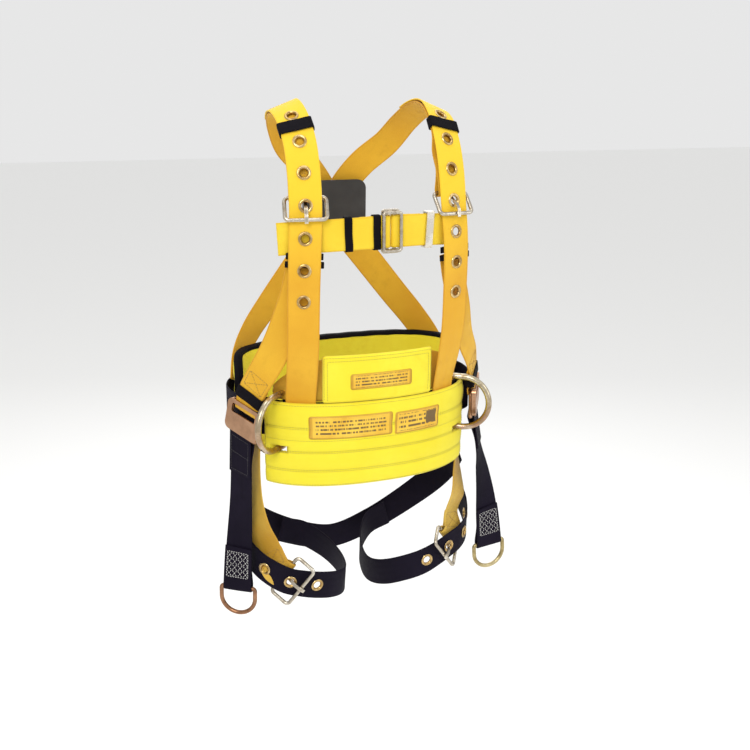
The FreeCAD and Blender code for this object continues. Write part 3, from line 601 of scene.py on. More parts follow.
# thread: each stitch is a small arched bead lying on the cloth
class Thread:
    def __init__(self):
        self.starts, self.ends, self.ups = [], [], []

    def row(self, points, ups, length=3.0, gap=1.1):
        # stitches of one length along a line of points
        points, ups = np.asarray(points, float), np.asarray(ups, float)
        run = np.concatenate([[0], np.cumsum(np.linalg.norm(np.diff(points, axis=0), axis=1))])
        count = int((run[-1] + gap) // (length + gap))
        if count < 1:
            return
        start = (run[-1] - count * (length + gap) + gap) / 2 + np.arange(count) * (length + gap)

        def at(value, rows):
            return np.stack([np.interp(value, run, rows[:, k]) for k in range(3)], 1)

        self.starts.append(at(start, points))
        self.ends.append(at(start + length, points))
        self.ups.append(unitRows(at(start + length / 2, ups)))

    def piece(self, name, paint, body, thick=0.42, slot="yellow_webbing"):
        starts, ends, ups = (np.vstack(rows) for rows in (self.starts, self.ends, self.ups))
        middle, half = (starts + ends) / 2, (ends - starts) / 2
        length = np.linalg.norm(half, axis=1, keepdims=True)
        way = half / length
        side = unitRows(np.cross(way, ups))
        up = np.cross(side, way)
        rings = [(-1.0, 0.25, -0.15), (-0.72, 0.85, 0.45), (0.0, 1.0, 0.75), (0.72, 0.85, 0.45), (1.0, 0.25, -0.15)]
        angles = np.radians(np.arange(0, 360, 72))
        verts = []
        for share, wide, high in rings:
            for a in angles:
                verts.append(middle + way * length * share + side * (thick * wide * math.cos(a))
                             + up * (thick * (wide * 0.8 * math.sin(a) + high)))
        verts = np.stack(verts, 1)
        size, count = len(rings) * len(angles), len(middle)
        base = ringFaces(len(rings), len(angles), closed=False)
        quads = (np.array(base)[None] + (np.arange(count) * size)[:, None, None]).reshape(-1, 4)
        made = finishMesh(name, verts.reshape(-1, 3), quads.tolist(), None, paint)
        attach(made, body)
        return made


def seam(thread, web, x0, x1, run0, run1, above=0.05, **how):
    # a straight row of stitches on a web
    count = max(2, int(abs(run1 - run0) + abs(x1 - x0)) // 3)
    points, ups = web.surface(np.linspace(x0, x1, count), np.linspace(run0, run1, count), above)
    thread.row(points, ups, **how)


def boxSeam(thread, web, half, run0, run1, above=0.05, cross=True, **how):
    # the load-bearing pattern: a box with a cross in it
    for ends in ((-half, half, run0, run0), (half, half, run0, run1), (half, -half, run1, run1),
                 (-half, -half, run1, run0)):
        seam(thread, web, *ends, above=above, **how)
    if cross:
        seam(thread, web, -half, half, run0, run1, above, **how)
        seam(thread, web, half, -half, run0, run1, above, **how)


def hang(piece, body, slot, *nodes):
    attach(piece, body)
    if nodes:
        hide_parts(*nodes)


shoulderLine = [
    ((112.5, -82, -8), (.45, -.9, 0)), ((112.5, -82.5, 24), (.45, -.9, 0)), ((114, -97, 74), (.38, -1, 0)),
    ((115, -107, 120), (.32, -1, 0)), ((115, -111, 180), (.3, -1, 0)), ((113, -112, 250), (.28, -1, .05)),
    ((110, -107, 300), (.25, -1, .15)), ((109, -97, 348), (.25, -1, .35)), ((109, -78, 390), (.25, -.8, .6)),
    ((111, -50, 420), (.3, -.45, .9)), ((112, -14, 434), (.4, -.05, 1)), ((108, 26, 429), (.35, .35, .95)),
    ((98, 60, 408), (.25, .7, .7)), ((80, 88, 374), (.2, 1, .35)), ((48, 107, 342), (.1, 1, .15)),
    ((24, 116, 312), (0, 1, .05)), ((9, 120, 286), (0, 1, 0)), ((-3, 121, 262), (0, 1, 0)),
    ((-24, 120, 232), (-.05, 1, 0)), ((-62, 113, 184), (-.25, 1, 0)), ((-106, 107, 128), (-.4, 1, 0)),
    ((-139, 99, 86), (-.55, .9, 0)), ((-161, 86, 50), (-.7, .8, 0)), ((-173, 72, 12), (-.8, .6, 0)),
]
sideLine = [
    ((113, -105, 238), (.3, -1, 0)), ((122, -103, 190), (.35, -1, 0)), ((142, -94, 130), (.55, -1, 0)),
    ((164, -71, 70), (.75, -.8, 0)), ((181, -51, 25), (.85, -.6, 0)), ((189, -43, -14), (.88, -.47, 0)),
    ((193, -36, -40), (.88, -.47, 0)),
]
chestLine = [
    ((-148, -98, 262), (-.5, -1, 0)), ((-112, -104, 264), (-.3, -1, 0)), ((-60, -116, 267), (-.1, -1, 0)),
    ((0, -121, 269), (0, -1, 0)), ((60, -116, 269), (.1, -1, 0)), ((108, -104, 266), (.3, -1, 0)),
]
liftLines = {
    "L": [((193, -36, -40), (.88, -.47, 0)), ((199, -42, -85), (.85, -.5, 0)), ((207, -53, -150), (.6, -.8, 0)),
          ((213, -60, -216), (.25, -1, 0)), ((218, -63, -271), (.05, -1, 0))],
    "R": [((-193, -36, -40), (-.88, -.47, 0)), ((-196, -41, -85), (-.88, -.48, 0)),
          ((-201, -51, -150), (-.84, -.58, 0)), ((-207, -58, -220), (-.68, -.74, 0)),
          ((-211, -62, -276), (-.55, -.83, 0))],
}
legLines = {
    "L": [((96, 108, -270), (-.1, 1, 0)), ((60, 98, -280), (-.45, 1, 0)), ((34, 62, -292), (-1, .5, 0)),
          ((20, 18, -299), (-1, 0, 0)), ((15, -30, -298), (-1, -.4, 0)), ((25, -66, -288), (-.7, -1, 0)),
          ((48, -88, -276), (-.2, -1, 0)), ((79, -95, -267), (0, -1, 0)), ((106, -93, -258), (.3, -1, 0)),
          ((132, -86.5, -249), (.5, -1, 0)), ((158, -73, -243), (.7, -.8, 0)), ((178.5, -51, -236), (.9, -.5, 0)),
          ((190, -18, -222), (1, -.1, 0)), ((193, 14, -206), (1, .1, 0))],
    "R": [((96, 108, -272), (-.1, 1, 0)), ((60, 98, -280), (-.45, 1, 0)), ((36, 62, -290), (-1, .5, 0)),
          ((26, 18, -296), (-1, 0, 0)), ((28, -30, -296), (-1, -.4, 0)), ((42, -68, -290), (-.7, -1, 0)),
          ((65, -87, -283), (-.2, -1, 0)), ((97, -95, -274), (.1, -1, 0)), ((118, -95, -268), (.3, -1, 0)),
          ((139, -93, -261), (.45, -1, 0)), ((160.5, -84, -249), (.65, -.85, 0)), ((178, -66, -237), (.85, -.6, 0)),
          ((190, -35, -221), (1, -.2, 0)), ((193, -2, -206), (1, 0, 0))],
}
legBuckle = {"L": (115, -91, -255), "R": (119, -95, -268)}
legSkew = 20.0
legTilt = {"L": -8.0, "R": -4.5}
riserLines = {
    "L": [((150.5, -63.5, -204), (.62, -.8, 0)), ((162, -62, -174), (.6, -.8, 0)), ((168, -45, -140), (.75, -.7, 0)),
          ((174, -24, -100), (.9, -.4, 0)), ((175, -20, -58), (.95, -.3, 0))],
    "R": [((167, -66.5, -212), (.65, -.76, 0)), ((180, -60, -180), (.7, -.7, 0)), ((184, -45, -146), (.8, -.6, 0)),
          ((180, -28, -104), (.9, -.4, 0)), ((175, -20, -58), (.95, -.3, 0))],
}
seatLine = [
    ((190, 14, -128), (1, 0, 0)), ((184, 58, -180), (1, .5, 0)), ((146, 100, -238), (.6, 1, 0)),
    ((76, 119, -286), (.2, 1, 0)), ((0, 121, -308), (0, 1, 0)),
]


def mirrored(knots):
    return [((-p[0], p[1], p[2]), (-o[0], o[1], o[2])) for p, o in knots]


keeperSizes = {
    "shoulder": {"half": 23.1, "low": -6.6, "high": 2.2, "length": 19, "wall": 1.4, "corner": 1.5},
    "hip": {"half": 23.1, "low": -8.5, "high": 2.0, "length": 18, "wall": 1.4, "corner": 1.5},
    "chest": {"half": 23.1, "low": -8.6, "high": 1.6, "length": 11, "wall": 1.2, "corner": 1.5},
    "belt": {"half": 30.6, "low": -6.6, "high": 2.6, "length": 18, "wall": 1.4, "corner": 1.5},
    "parking": {"half": 24.6, "low": -3.9, "high": -3.0, "length": 9, "wall": 1.1, "corner": 1.5},
}


def keeper(name, matrix, size, body, node=None):
    # an elastic sleeve: a band of cloth that goes once round the straps
    half, low, high, length, wall, corner = size.values()
    path = []
    for cx, cz, start in ((half - corner, high - corner, 90), (half - corner, low + corner, 0),
                          (-half + corner, low + corner, -90), (-half + corner, high - corner, -180)):
        for a in np.radians(np.linspace(start, start - 90, 5)):
            path.append((cx + (corner + wall / 2) * math.cos(a), cz + (corner + wall / 2) * math.sin(a)))
    full = []
    for a, b in zip(path, path[1:] + path[:1]):
        steps = max(1, int(math.dist(a, b) // 4))
        full += [tuple(np.array(a) + (np.array(b) - np.array(a)) * k / steps) for k in range(steps)]
    full = np.array(full)
    turn = np.roll(full, -1, 0) - np.roll(full, 1, 0)
    turn /= np.linalg.norm(turn, axis=1, keepdims=True)
    out = np.stack([-turn[:, 1], turn[:, 0]], 1)
    run = np.concatenate([[0], np.cumsum(np.linalg.norm(np.diff(full, axis=0), axis=1))])
    r = wall / 2
    flat = np.linspace(-(length / 2 - r), length / 2 - r, 7)
    shape = np.array(list(zip(flat, np.full(7, r))) + [(length / 2, 0.0)] + list(zip(flat[::-1], np.full(7, -r)))
                     + [(-length / 2, 0.0)])
    verts, uvs = [], []
    for (x, z), (ox, oz), s in zip(full, out, run):
        wave = 0.25 * math.sin(s / 5.3)
        for y, lift in shape:
            lift = lift + wave * 0.3
            verts.append(tuple(matrix @ Vector((x + ox * lift, y + wave * (1 if y > 0 else 0.6), z + oz * lift))))
            uvs.append((y * mm, s * mm))
    piece = finishMesh(name, verts, ringFaces(len(full), len(shape)), uvs, "elasticBand")
    faceOutward(piece)
    hang(piece, body, "black_webbing", *([node] if node else []))


drop, under, seamHalf = webSizes["drop"], webSizes["under"], webSizes["seamHalf"]
slotPlace = (0, drop - 2, webSizes["pivotIn"])
amber = Thread()
for side, tag in ((1, "L"), (-1, "R")):
    # holed front strap
    line = StrapLine(shoulderLine, side)
    bar = line.nearest((side * 111, -108, 288))
    top = line.nearest((side * 112, -46, 423))
    holes = [bar + webSizes["tongueHole"] + webSizes["pitch"] * k for k in range(-3, 4)]
    web = Web(line, [(0, 0), (bar, 0), (top, 0), (top + 95, 0)], sway=0.3, seed=3 + side)
    piece = web.mesh("frontStrap" + tag, "frontWebbing", holes)
    hang(piece, "webbing", "yellow_webbing", "front_strap_" + tag)
    boxSeam(amber, web, seamHalf, web.runAt(top + 95) - 34, web.runAt(top + 95) - 5)
    # under strap, over the shoulder and across the back
    cross = line.nearest((0, 121, 268))
    atCross = -1.6 - (0 if side > 0 else webSizes["thick"] + 1.0)
    path = foldPath(bar + drop, 1, under)[::-1] + [
        (bar + 62, under - 2.5), (bar + 90, under - 6), (top - 40, under), (top - 5, under),
        (top + 100, under), (cross - 60, atCross), (cross, atCross), (cross + 60, atCross),
        (line.length - 60, 0), (line.length, 0)]
    web = Web(line, path, sway=0.3, seed=9 + side)
    piece = web.mesh("shoulderStrap" + tag, "goldWebbing")
    carveSlot(piece, line.spot(bar), webSizes["slot"], slotPlace)
    hang(piece, "webbing", "yellow_webbing", "shoulder_strap_" + tag)
    boxSeam(amber, web, seamHalf, web.run[-1] - 44, web.run[-1] - 5)
    over = web.runAt(bar + drop + 20, after=30)
    boxSeam(amber, web, seamHalf, over, over + 26)
    keeper("shoulderKeeper" + tag, line.spot(top - 21), keeperSizes["shoulder"], "webbing", "shoulder_keeper_" + tag)
    # side strap with its roll on the hip buckle
    line = StrapLine(sideLine, side)
    high = line.length - 44
    web = Web(line, [(6, -6.6), (40, -6.5), (150, -6), (192, 0)] + foldPath(high, -1, 0), seed=21 + side)
    hang(web.mesh("sideStrap" + tag, "goldWebbing"), "webbing", "yellow_webbing", "side_strap_" + tag)
    hipBar = line.at(high)[3][0]
    boxSeam(amber, web, seamHalf, web.runAt(high) - 62, web.runAt(high) - 38)
    keeper("hipKeeper" + tag, line.spot(high - 24), keeperSizes["hip"], "webbing", "hip_keeper_" + tag)
    # lift strap: the ends are turned to the front and sewn with white thread
    line = StrapLine(liftLines[tag])
    end, ringWrap = line.length, webSizes["wrap"] + 0.5
    gap = -(webSizes["thick"] + 0.5)
    path = ([(58, 0), (40, 0), (14, 0), (6, 0)] + circlePart(0, -webSizes["wrap"], webSizes["wrap"], 90, 270)
            + [(8, -8.2), (22, gap - 2), (36, gap), (60, gap), (end - 60, gap), (end - 34, gap),
               (end - 22, gap - 2.4), (end - 8, -9.2)]
            + circlePart(end, -ringWrap, ringWrap, -90, 90)
            + [(end - 6, 0), (end - 14, 0), (end - 40, 0), (end - 66, 0)])
    web = Web(line, path, seed=31 + side, bar=hipBar)
    body = "lift_strap_" + tag
    hang(web.mesh("liftStrap" + tag, "darkWebbing"), body, "black_webbing", body)
    thread = Thread()
    last = web.run[-1]
    boxSeam(thread, web, 17.5, last - 48, last - 8, above=-0.05, cross=False)
    for column in range(4):
        x = -13.5 + column * 9
        for k in range(4):
            low, high = last - 47 + k * 9.5, last - 37.5 + k * 9.5
            seam(thread, web, x - 4, x + 4, low, high, above=-0.05)
            seam(thread, web, x + 4, x - 4, low, high, above=-0.05)
    thread.piece("liftStitches" + tag, "whiteThread", body, slot="black_webbing")
    dark = Thread()
    for offset in (4, 30, 54):
        seam(dark, web, -18, 18, offset, offset, above=-0.05)
    seam(dark, web, -18, -18, 4, 54, above=-0.05)
    seam(dark, web, 18, 18, 4, 54, above=-0.05)
    dark.piece("liftHeadStitches" + tag, "blackThread", body, slot="black_webbing")
print("straps: shoulders, sides and lift straps")

for side, tag in ((1, "L"), (-1, "R")):
    line = StrapLine(legLines[tag], side)
    bar = line.nearest((side * legBuckle[tag][0], *legBuckle[tag][1:]))
    holes = [bar + webSizes["tongueHole"] + webSizes["pitch"] * k for k in range(-1, 3)]
    web = Web(line, [(0, -6), (60, -3), (110, 0), (bar, 0), (line.length, 0)], sway=0.2, seed=41 + side)
    piece = web.mesh("legStrap" + tag, "darkWebbing", holes)
    hang(piece, "webbing", "black_webbing", "leg_strap_" + tag)
    spot = (line.spot(bar + 12) @ Matrix.Rotation(math.radians(side * legSkew), 4, "Z")
            @ Matrix.Rotation(math.radians(legTilt[tag]), 4, "X") @ Matrix.Translation((0, -12, 0)))
    outward = tuple(spot.to_3x3() @ Vector((0, 0, 1)))
    start = [(tuple(spot @ Vector((0, drop + y, z))), outward) for y, z in ((-16, 0), (0, 0), (16, -3))]
    riser = StrapLine(start + (riserLines[tag] if side > 0 else mirrored(riserLines[tag])))
    path = foldPath(16, 1, under)[::-1] + [(90, under - 2), (riser.length, under)]
    web = Web(riser, path, sway=0.2, seed=51 + side)
    piece = web.mesh("legRiser" + tag, "satinGold")
    carveSlot(piece, spot, webSizes["slot"], slotPlace)
    hang(piece, "webbing", "yellow_webbing", "leg_riser_" + tag)
    over = web.runAt(38, after=30)
    boxSeam(amber, web, seamHalf, over, over + 24)
line = StrapLine(seatLine + mirrored(seatLine[:-1][::-1]))
web = Web(line, [(0, 0), (line.length, 0)], seed=61)
hang(web.mesh("seatStrap", "darkWebbing"), "webbing", "black_webbing", "seat_strap")
print("straps: legs and seat")

# chest strap
chest = {"buckleAt": 160.0, "bar": 5.4, "wrap": 3.9, "outerKeeper": -54, "innerKeeper": -12}
line = StrapLine(chestLine)
oneFold, otherFold = chest["buckleAt"] - chest["bar"], chest["buckleAt"] + chest["bar"]
right = Web(line, [(0, 0), (oneFold - 45, 0)] + foldPath(oneFold, -1, 0, chest["wrap"], 40), seed=71)
hang(right.mesh("chestStrapRight", "brightWebbing"), "webbing", "yellow_webbing", "chest_strap_right")
path = foldPath(otherFold, 1, 0, chest["wrap"], 40)[::-1] + [(otherFold + 60, 0), (line.length, 0)]
left = Web(line, path, seed=73)
hang(left.mesh("chestStrapLeft", "brightWebbing"), "webbing", "yellow_webbing", "chest_strap_left")
for name, x in (("outer", chest["outerKeeper"]), ("inner", chest["innerKeeper"])):
    keeper("chestKeeper" + name.title(), line.spot(line.nearest((x, -117, 268))), keeperSizes["chest"],
           "chest_keeper_" + name, "chest_keeper_" + name)
print("straps: chest")


# belt web, pads and labels
belt = {"half": 176.0, "deep": 113.0, "power": 2.3, "lumbarHalf": 186.0, "lumbarDeep": 113.0, "lumbarPower": 2.9,
        "z": -11.0, "height": 60.0, "webIn": -14.2, "backOut": 9.7, "top": 20.0, "bottom": -110.0, "knots": 39,
        "turn": 12, "frontEnds": 78, "backStarts": 84, "sidePower": 2.4, "lapTail": 150, "holePitch": 30}


def beltPoint(angle, offset, z, back=False, power=None):
    # the belt's outline: angle 0 is the wearer's front, 90 the left side
    half, deep, bend = ((belt["lumbarHalf"], belt["lumbarDeep"], belt["lumbarPower"]) if back
                        else (belt["half"], belt["deep"], belt["power"]))
    bend = power or bend
    c, s = math.sin(math.radians(angle)), -math.cos(math.radians(angle))
    return ((half + offset) * math.copysign(abs(c) ** (2 / bend), c),
            (deep + offset) * math.copysign(abs(s) ** (2 / bend), s), z)


def beltKnots():
    knots = []
    for i in range(belt["knots"]):
        turned = (360 - belt["turn"] * i) % 360 - 180
        if abs(turned) < belt["frontEnds"]:
            point = beltPoint(turned, belt["webIn"] - webSizes["thick"] / 2, belt["z"])
        elif abs(turned) > belt["backStarts"]:
            point = beltPoint(turned, belt["backOut"], belt["z"], True)
        else:
            point = beltPoint(turned, 0, belt["z"], True, belt["sidePower"])
        knots.append((point, (point[0] / belt["half"] ** 2, point[1] / belt["deep"] ** 2, 0)))
    return knots


line = StrapLine(beltKnots())
gaps = np.linalg.norm(line.points - line.points[0], axis=1)
middle = len(gaps) // 2
lap = float(line.stations[middle + np.argmin(gaps[middle:])])
path = foldPath(drop, 1, under)[::-1] + [(90, under), (136, under), (164, 0), (lap, 0), (lap + belt["lapTail"], 0)]
web = Web(line, path, width=belt["height"], sway=0.2, seed=81)
holes = [lap + webSizes["tongueHole"] + belt["holePitch"] * k for k in range(-2, 4)]
piece = web.mesh("beltWeb", "darkWebbing", holes)
carveSlot(piece, line.spot(0), webSizes["slot"], slotPlace)
hang(piece, "webbing", "black_webbing", "belt_web")
keeper("beltKeeper", line.spot(126), keeperSizes["belt"], "webbing", "belt_keeper")
print("belt web")


class Pad:
    # a stuffed band on the belt's outline, between two angles and two heights
    def __init__(self, first, last, low, high, thick, outside, seams, puff, corner=6.0, back=False, seed=1):
        self.low, self.high = low, high
        self.thick, self.outside, self.puff, self.corner, self.back = thick, outside, puff, corner, back
        self.seams = sorted([low + 3.5, *seams, high - 3.5])
        source = np.random.default_rng(seed)
        self.waves = [(source.uniform(0.02, 0.07), source.uniform(0.03, 0.12), source.uniform(0, 6.3))
                      for _ in range(5)]
        self.hollows = []
        self.angles = np.linspace(first, last, 241)
        spots = np.array([beltPoint(a, 0, 0, back)[:2] for a in self.angles])
        self.arc = np.concatenate([[0], np.cumsum(np.linalg.norm(np.diff(spots, axis=0), axis=1))])

    def rowEnds(self, z):
        # arc length of the row's two ends: the corners are rounded
        edge = min(z - self.low, self.high - z)
        cut = 0.0
        if edge < self.corner:
            cut = self.corner - math.sqrt(max(0.0, self.corner ** 2 - (self.corner - edge) ** 2))
        return cut, self.arc[-1] - cut

    def lift(self, s, z):
        # outer face over the plain band: plump between seams, pinched on them, with slow waves
        below = [v for v in self.seams if v <= z]
        above = [v for v in self.seams if v > z]
        plump = 0.0
        if below and above:
            u = (z - below[-1]) / (above[0] - below[-1])
            tall = min(1.0, (above[0] - below[-1]) / 30)
            plump = tall * (1 - abs(2 * u - 1) ** 2.6)
        edge = min(s, self.arc[-1] - s, 12.0) / 12
        wave = sum(math.sin(s * a + z * b + c) for a, b, c in self.waves) * 0.16
        lift = self.outside + self.puff * plump * edge ** 0.5 + wave * plump
        for x0, x1, z0, z1, depth in self.hollows:
            inside = min(s - x0, x1 - s, z - z0, z1 - z)
            lift -= depth * min(1.0, max(0.0, inside / 6 + 0.5))
        return lift

    def point(self, s, z, above=0.0):
        angle = float(np.interp(s, self.arc, self.angles))
        return beltPoint(angle, self.lift(s, z) + above, z, self.back)

    def mesh(self, name, paint, across=4.0, step=2.5):
        columns, rows = int(self.arc[-1] / across), int((self.high - self.low) / step)
        verts, uvs, grid = [], [], {}
        rim = self.thick / 2
        for face in (0, 1):
            for j in range(rows + 1):
                z = self.low + (self.high - self.low) * j / rows
                start, end = self.rowEnds(z)
                for i in range(columns + 1):
                    if face and (i in (0, columns) or j in (0, rows)):
                        grid[face, i, j] = grid[0, i, j]
                        continue
                    s = start + (end - start) * i / columns
                    edge = min(s - start, end - s, z - self.low, self.high - z, rim)
                    swell = math.sqrt(max(0.0, 1 - (1 - edge / rim) ** 2))
                    middle = self.outside - self.thick / 2
                    outer = middle + (self.lift(s, z) - middle) * swell
                    offset = middle - (self.thick / 2) * swell if face else outer
                    angle = float(np.interp(s, self.arc, self.angles))
                    verts.append(beltPoint(angle, offset, z, self.back))
                    uvs.append((s * mm, z * mm))
                    grid[face, i, j] = len(verts) - 1
        faces = []
        for face in (0, 1):
            for j in range(rows):
                for i in range(columns):
                    loop = [grid[face, i, j], grid[face, i + 1, j], grid[face, i + 1, j + 1], grid[face, i, j + 1]]
                    faces.append(tuple(loop[::-1] if face else loop))
        piece = finishMesh(name, verts, faces, uvs, paint)
        faceOutward(piece)
        return piece

    def stitch(self, thread, route, above=0.15, **how):
        # stitches along points (arc length, height)
        points, ups = [], []
        for (s0, z0), (s1, z1) in zip(route, route[1:]):
            count = max(2, int(math.dist((s0, z0), (s1, z1)) / 3))
            for k in range(count):
                s, z = s0 + (s1 - s0) * k / count, z0 + (z1 - z0) * k / count
                place = np.array(self.point(s, z, above))
                points.append(place)
                ups.append(np.array(self.point(s, z, above + 1)) - place)
        thread.row(points, ups, **how)


pads = {
    "belly": {"first": -66, "last": 66, "low": belt["bottom"], "high": belt["top"], "thick": 7.0, "outside": -0.6,
              "seams": (-18, -37, -55, -84), "puff": 1.9, "seed": 5},
    "panel": {"first": -26.5, "last": 26.5, "low": belt["top"] + 0.5, "high": 92.0, "thick": 5.0, "outside": -1.6,
              "seams": (), "puff": 1.4, "corner": 3.0, "seed": 6},
    "back": {"first": 98, "last": 262, "low": -114, "high": 63, "thick": 12.0, "outside": -0.8,
             "seams": (-80, -46, 24), "puff": 1.6, "corner": 30.0, "back": True, "seed": 8},
}
lime = Thread()
belly = Pad(**pads["belly"])
piece = belly.mesh("bellyPad", "lemonCover")
for x in (-146, 146):
    carveSlot(piece, Matrix.Identity(4), (28, 40, 11), (x, -82, -52))
hang(piece, "webbing", "lemon_pad", "belly_pad")
for z in belly.seams:
    for row in ((-1.3, 1.3) if z in (-18, -55, -84) else (0,)):
        belly.stitch(lime, [(6, z + row), (belly.arc[-1] - 6, z + row)])
for s in (5.0, belly.arc[-1] - 5.0):
    belly.stitch(lime, [(s, belt["bottom"] + 6), (s, belt["top"] - 6)])
panel = Pad(**pads["panel"])
piece = panel.mesh("bellyPanel", "lemonCover", across=3.0)
hang(piece, "webbing", "lemon_pad", "belly_panel")
for inset in (3.5, 8.5):
    far, high = panel.arc[-1] - inset, panel.high - inset
    panel.stitch(lime, [(inset, 24), (inset, high), (far, high), (far, 24)])
lime.piece("padStitches", "limeThread", "webbing", slot="lemon_pad")
print("belly pad and panel")

# back pad, with a black binding all round
lumbar = Pad(**pads["back"])
centre = lumbar.arc[-1] / 2
lumbar.hollows = [(centre - 94, centre + 16, -52, 30, 8.5)]
piece = lumbar.mesh("backPad", "lemonCover", across=5.0, step=4.0)
hang(piece, "webbing", "lemon_pad", "lumbar_pad")


def padEdge(pad, inset, step=4.0):
    # closed route round the pad, inset from its rounded outline
    low, high, r = pad.low + inset, pad.high - inset, max(1.0, pad.corner - inset)
    left, right = inset, pad.arc[-1] - inset
    route = []
    for cs, cz, start in ((right - r, low + r, -90), (right - r, high - r, 0), (left + r, high - r, 90),
                          (left + r, low + r, 180)):
        angles = np.radians(np.linspace(start, start + 90, 9))
        route += [(cs + r * math.cos(a), cz + r * math.sin(a)) for a in angles]
    dense = []
    for a, b in zip(route, route[1:] + route[:1]):
        count = max(1, int(math.dist(a, b) / step))
        dense += [(a[0] + (b[0] - a[0]) * k / count, a[1] + (b[1] - a[1]) * k / count) for k in range(count)]
    return dense


def binding(name, pad, paint, wide, tall):
    # a folded tape that wraps the pad's edge
    route = padEdge(pad, 1.5)
    centres = []
    for s, z in route:
        angle = float(np.interp(s, pad.arc, pad.angles))
        centres.append(beltPoint(angle, pad.outside - pad.thick / 2, z, pad.back))
    centres = np.array(centres)
    along = unitRows(np.roll(centres, -1, 0) - np.roll(centres, 1, 0))
    outs = unitRows(np.array([(x / belt["half"] ** 2, y / belt["deep"] ** 2, 0) for x, y, _ in centres]))
    side = unitRows(np.cross(along, outs))
    verts, uvs = [], []
    ring = 14
    run = np.concatenate([[0], np.cumsum(np.linalg.norm(np.diff(centres, axis=0), axis=1))])
    for i in range(len(centres)):
        for k in range(ring):
            a = 2 * math.pi * k / ring
            wave = 0.25 * math.sin(run[i] / 6.0 + k)
            across = math.copysign(abs(math.cos(a)) ** 0.7, math.cos(a)) * (wide + wave)
            depth = math.copysign(abs(math.sin(a)) ** 0.7, math.sin(a)) * (tall + wave * 0.5)
            verts.append(centres[i] + side[i] * across + outs[i] * depth)
            uvs.append((k * 2.2 * mm, run[i] * mm))
    piece = finishMesh(name, verts, ringFaces(len(centres), ring), uvs, paint)
    faceOutward(piece)
    hang(piece, "webbing", "black_webbing")


binding("backPadBinding", lumbar, "elasticBand", 4.2, lumbar.thick / 2 + 0.9)
print("back pad")


# labels: woven patches sewn on the pads, with plain bars for print
# x, z, width and height
labels = {"label_panel": (2, 52, 96, 24), "label_main": (-43, -16, 126, 36), "label_inspection": (61, -18, 78, 35)}


def labelMaterial(name, columns, rows, box):
    made, g, shader = newMaterial(name)
    uv = g.node("UVMap", uv_map="strapUV").outputs[0]
    u, v = g.split(uv)[:2]
    cell = g.node("CombineXYZ")
    g.plug(g.math("MULTIPLY", u, float(columns)), cell.inputs[0])
    g.plug(g.math("FLOOR", g.math("MULTIPLY", v, float(rows))), cell.inputs[1])
    bar = g.math("GREATER_THAN", g.noise(cell.outputs[0], 1.7, 1.0), 0.47)
    lines = g.near(g.math("FRACT", g.math("MULTIPLY", v, float(rows))), 0.5, 0.24)
    inner = g.math("MULTIPLY", g.near(u, 0.5, 0.42), g.near(v, 0.5, 0.38))
    ink = g.math("MULTIPLY", g.math("MULTIPLY", bar, lines), inner)
    if box:
        x0, x1, y0, y1 = box
        patch = g.math("MULTIPLY", g.near(u, (x0 + x1) / 2, (x1 - x0) / 2), g.near(v, (y0 + y1) / 2, (y1 - y0) / 2))
        ink = g.math("MAXIMUM", ink, patch)
    place = g.node("TexCoord").outputs["Object"]
    marks = g.group(soil, Vector=place, Scale=30.0)
    cloth = g.mix(marks.outputs["Fade"], (0.72, 0.40, 0.02, 1), (0.84, 0.54, 0.05, 1))
    rim = g.math("GREATER_THAN", g.math("MAXIMUM", g.math("ABSOLUTE", g.math("SUBTRACT", u, 0.5)),
                                        g.math("ABSOLUTE", g.math("SUBTRACT", v, 0.5))), 0.455)
    cloth = g.mix(g.math("MULTIPLY", rim, 0.5), cloth, (0.42, 0.19, 0.01, 1))
    g.plug(g.mix(g.math("MULTIPLY", ink, 0.86), cloth, (0.05, 0.03, 0.02, 1)), shader.inputs["Base Color"])
    fine = g.noise(place, 1400.0, 2.0)
    g.plug(g.bump(fine, 0.25, 0.0002), shader.inputs["Normal"])
    shader.inputs["Roughness"].default_value = 0.5
    return made


def labelPiece(node, pad, columns, rows, box=None):
    x, z, wide, tall = labels[node]
    materials[node] = labelMaterial(node.replace("_", "") + "Print", columns, rows, box)
    middle = float(np.interp(0, pad.angles, pad.arc)) + x * 1.02
    count, levels = int(wide / 3), int(tall / 3)
    verts, uvs = [], []
    for face, above in ((0, 0.75), (1, 0.1)):
        for j in range(levels + 1):
            for i in range(count + 1):
                u, v = i / count, j / levels
                corner = 1.0 if (i in (0, count) and j in (0, levels)) else 0.0
                s = middle + (u - 0.5) * (wide - 2 * corner)
                height = z + (v - 0.5) * (tall - 2 * corner)
                rim = 0.45 if i in (0, count) or j in (0, levels) else 0.0
                verts.append(pad.point(s, height, above - (rim if not face else 0)))
                uvs.append((u, v))
    piece = finishMesh(node.replace("_", "") + "Patch", verts, sheetFaces(count, levels), uvs, node)
    hang(piece, "webbing", "orange_label", node)
    thread = Thread()
    route = [(middle + a * (wide / 2 - 2), z + b * (tall / 2 - 2))
             for a, b in ((-1, -1), (1, -1), (1, 1), (-1, 1), (-1, -1))]
    pad.stitch(thread, route, above=0.8, length=1.6, gap=0.8)
    thread.piece(node.replace("_", "") + "Stitches", "amberThread", "webbing", thick=0.3, slot="orange_label")


labelPiece("label_panel", panel, 26, 5)
labelPiece("label_main", belly, 34, 6)
labelPiece("label_inspection", belly, 16, 5, box=(0.68, 0.92, 0.28, 0.84))
print("labels")

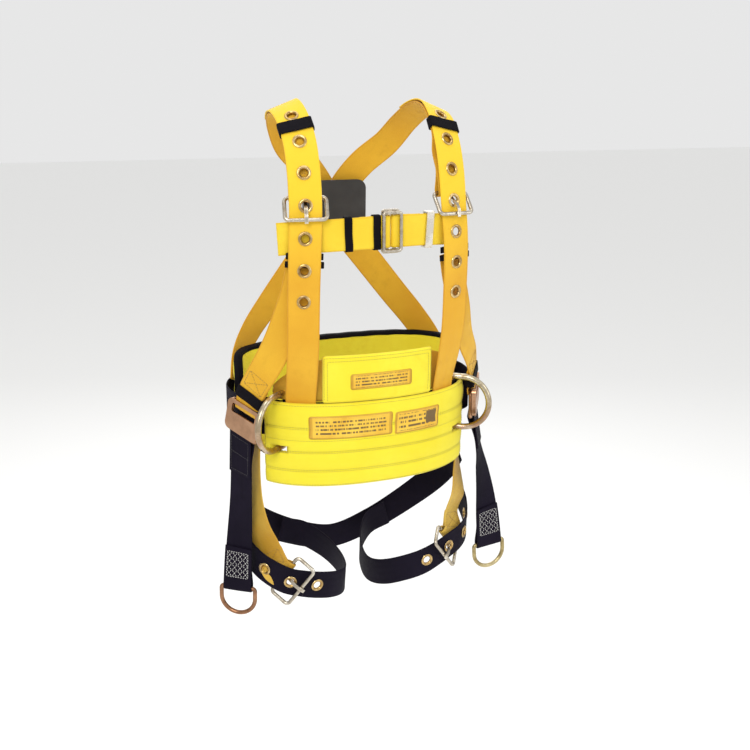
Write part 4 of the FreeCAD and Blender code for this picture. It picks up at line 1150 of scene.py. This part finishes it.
# trims: side flaps and parking loops
flap = {"rows": 16, "columns": 22, "first": 25, "turn": 37, "low": 20.5, "high": 84, "fall": 44, "outer": -13.0,
        "inner": -14.4}
for side, tag in ((1, "L"), (-1, "R")):
    rows, columns = flap["rows"], flap["columns"]
    verts, uvs = [], []
    for offset in (flap["outer"], flap["inner"]):
        for j in range(rows + 1):
            for i in range(columns + 1):
                angle = flap["first"] + flap["turn"] * i / columns
                top = flap["high"] - flap["fall"] * (i / columns) ** 1.6
                z = flap["low"] + (top - flap["low"]) * j / rows
                wave = 0.7 * math.sin(angle * 0.42 + j * 0.25) + 0.4 * math.sin(j * 0.8)
                x, y, z = beltPoint(angle, offset + wave, z)
                verts.append((side * x, y, z))
                uvs.append(((angle * 2.6) * mm, z * mm))
    piece = finishMesh("sideFlap" + tag, verts, sheetFaces(columns, rows), uvs, "tanFlap")
    faceOutward(piece)
    hang(piece, "webbing", "yellow_webbing")
    line = StrapLine(shoulderLine, side)
    for z, shift in ((240, 0), (226, 1.2)):
        s = line.nearest((side * 113, -112, z))
        wider = dict(keeperSizes["parking"], half=keeperSizes["parking"]["half"] + shift)
        keeper("parkingLoop%s%d" % (tag, z), line.spot(s), wider, "webbing")
amber.piece("amberStitches", "amberThread", "webbing")
print("trims")

# hardware finishes on the frame's own nodes
def plasticMaterial():
    made, g, shader = newMaterial("blackPlate")
    place = g.node("TexCoord").outputs["Object"]
    grain = g.noise(place, 900.0, 3.0)
    marks = g.group(soil, Vector=place, Scale=22.0)
    colour = g.mix(marks.outputs["Fade"], (0.012, 0.012, 0.013, 1), (0.035, 0.034, 0.036, 1))
    g.plug(colour, shader.inputs["Base Color"])
    g.plug(g.stretch(grain, 0.3, 0.7, 0.42, 0.6), shader.inputs["Roughness"])
    g.plug(g.bump(grain, 0.3, 0.0003), shader.inputs["Normal"])
    return made


materials["blackPlate"] = plasticMaterial()
plain = [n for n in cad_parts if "hip" not in n and n.endswith(("frame_L", "frame_R", "buckle_frame"))]
finishes = {
    "grommetBrass": [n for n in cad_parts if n.endswith("_grommets")],
    "bronzePlate": ["lift_d_ring_R", "hip_buckle_frame_L", "hip_buckle_frame_R", "hip_buckle_plate_L",
                    "hip_buckle_plate_R"],
    "goldPlate": ["lift_d_ring_L", "dorsal_d_ring"],
    "ringPlate": ["hip_d_ring_L", "hip_d_ring_R"],
    "zincSteel": ["chest_adjuster", "chest_buckle_outer", "chest_buckle_inner", *plain]
    + [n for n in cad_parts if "buckle_tongue" in n],
    "blackPlate": ["dorsal_pad"],
}
for paint, nodes in finishes.items():
    for node in nodes:
        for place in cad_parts[node].material_slots:
            place.material = materials[paint]
print("hardware finishes")
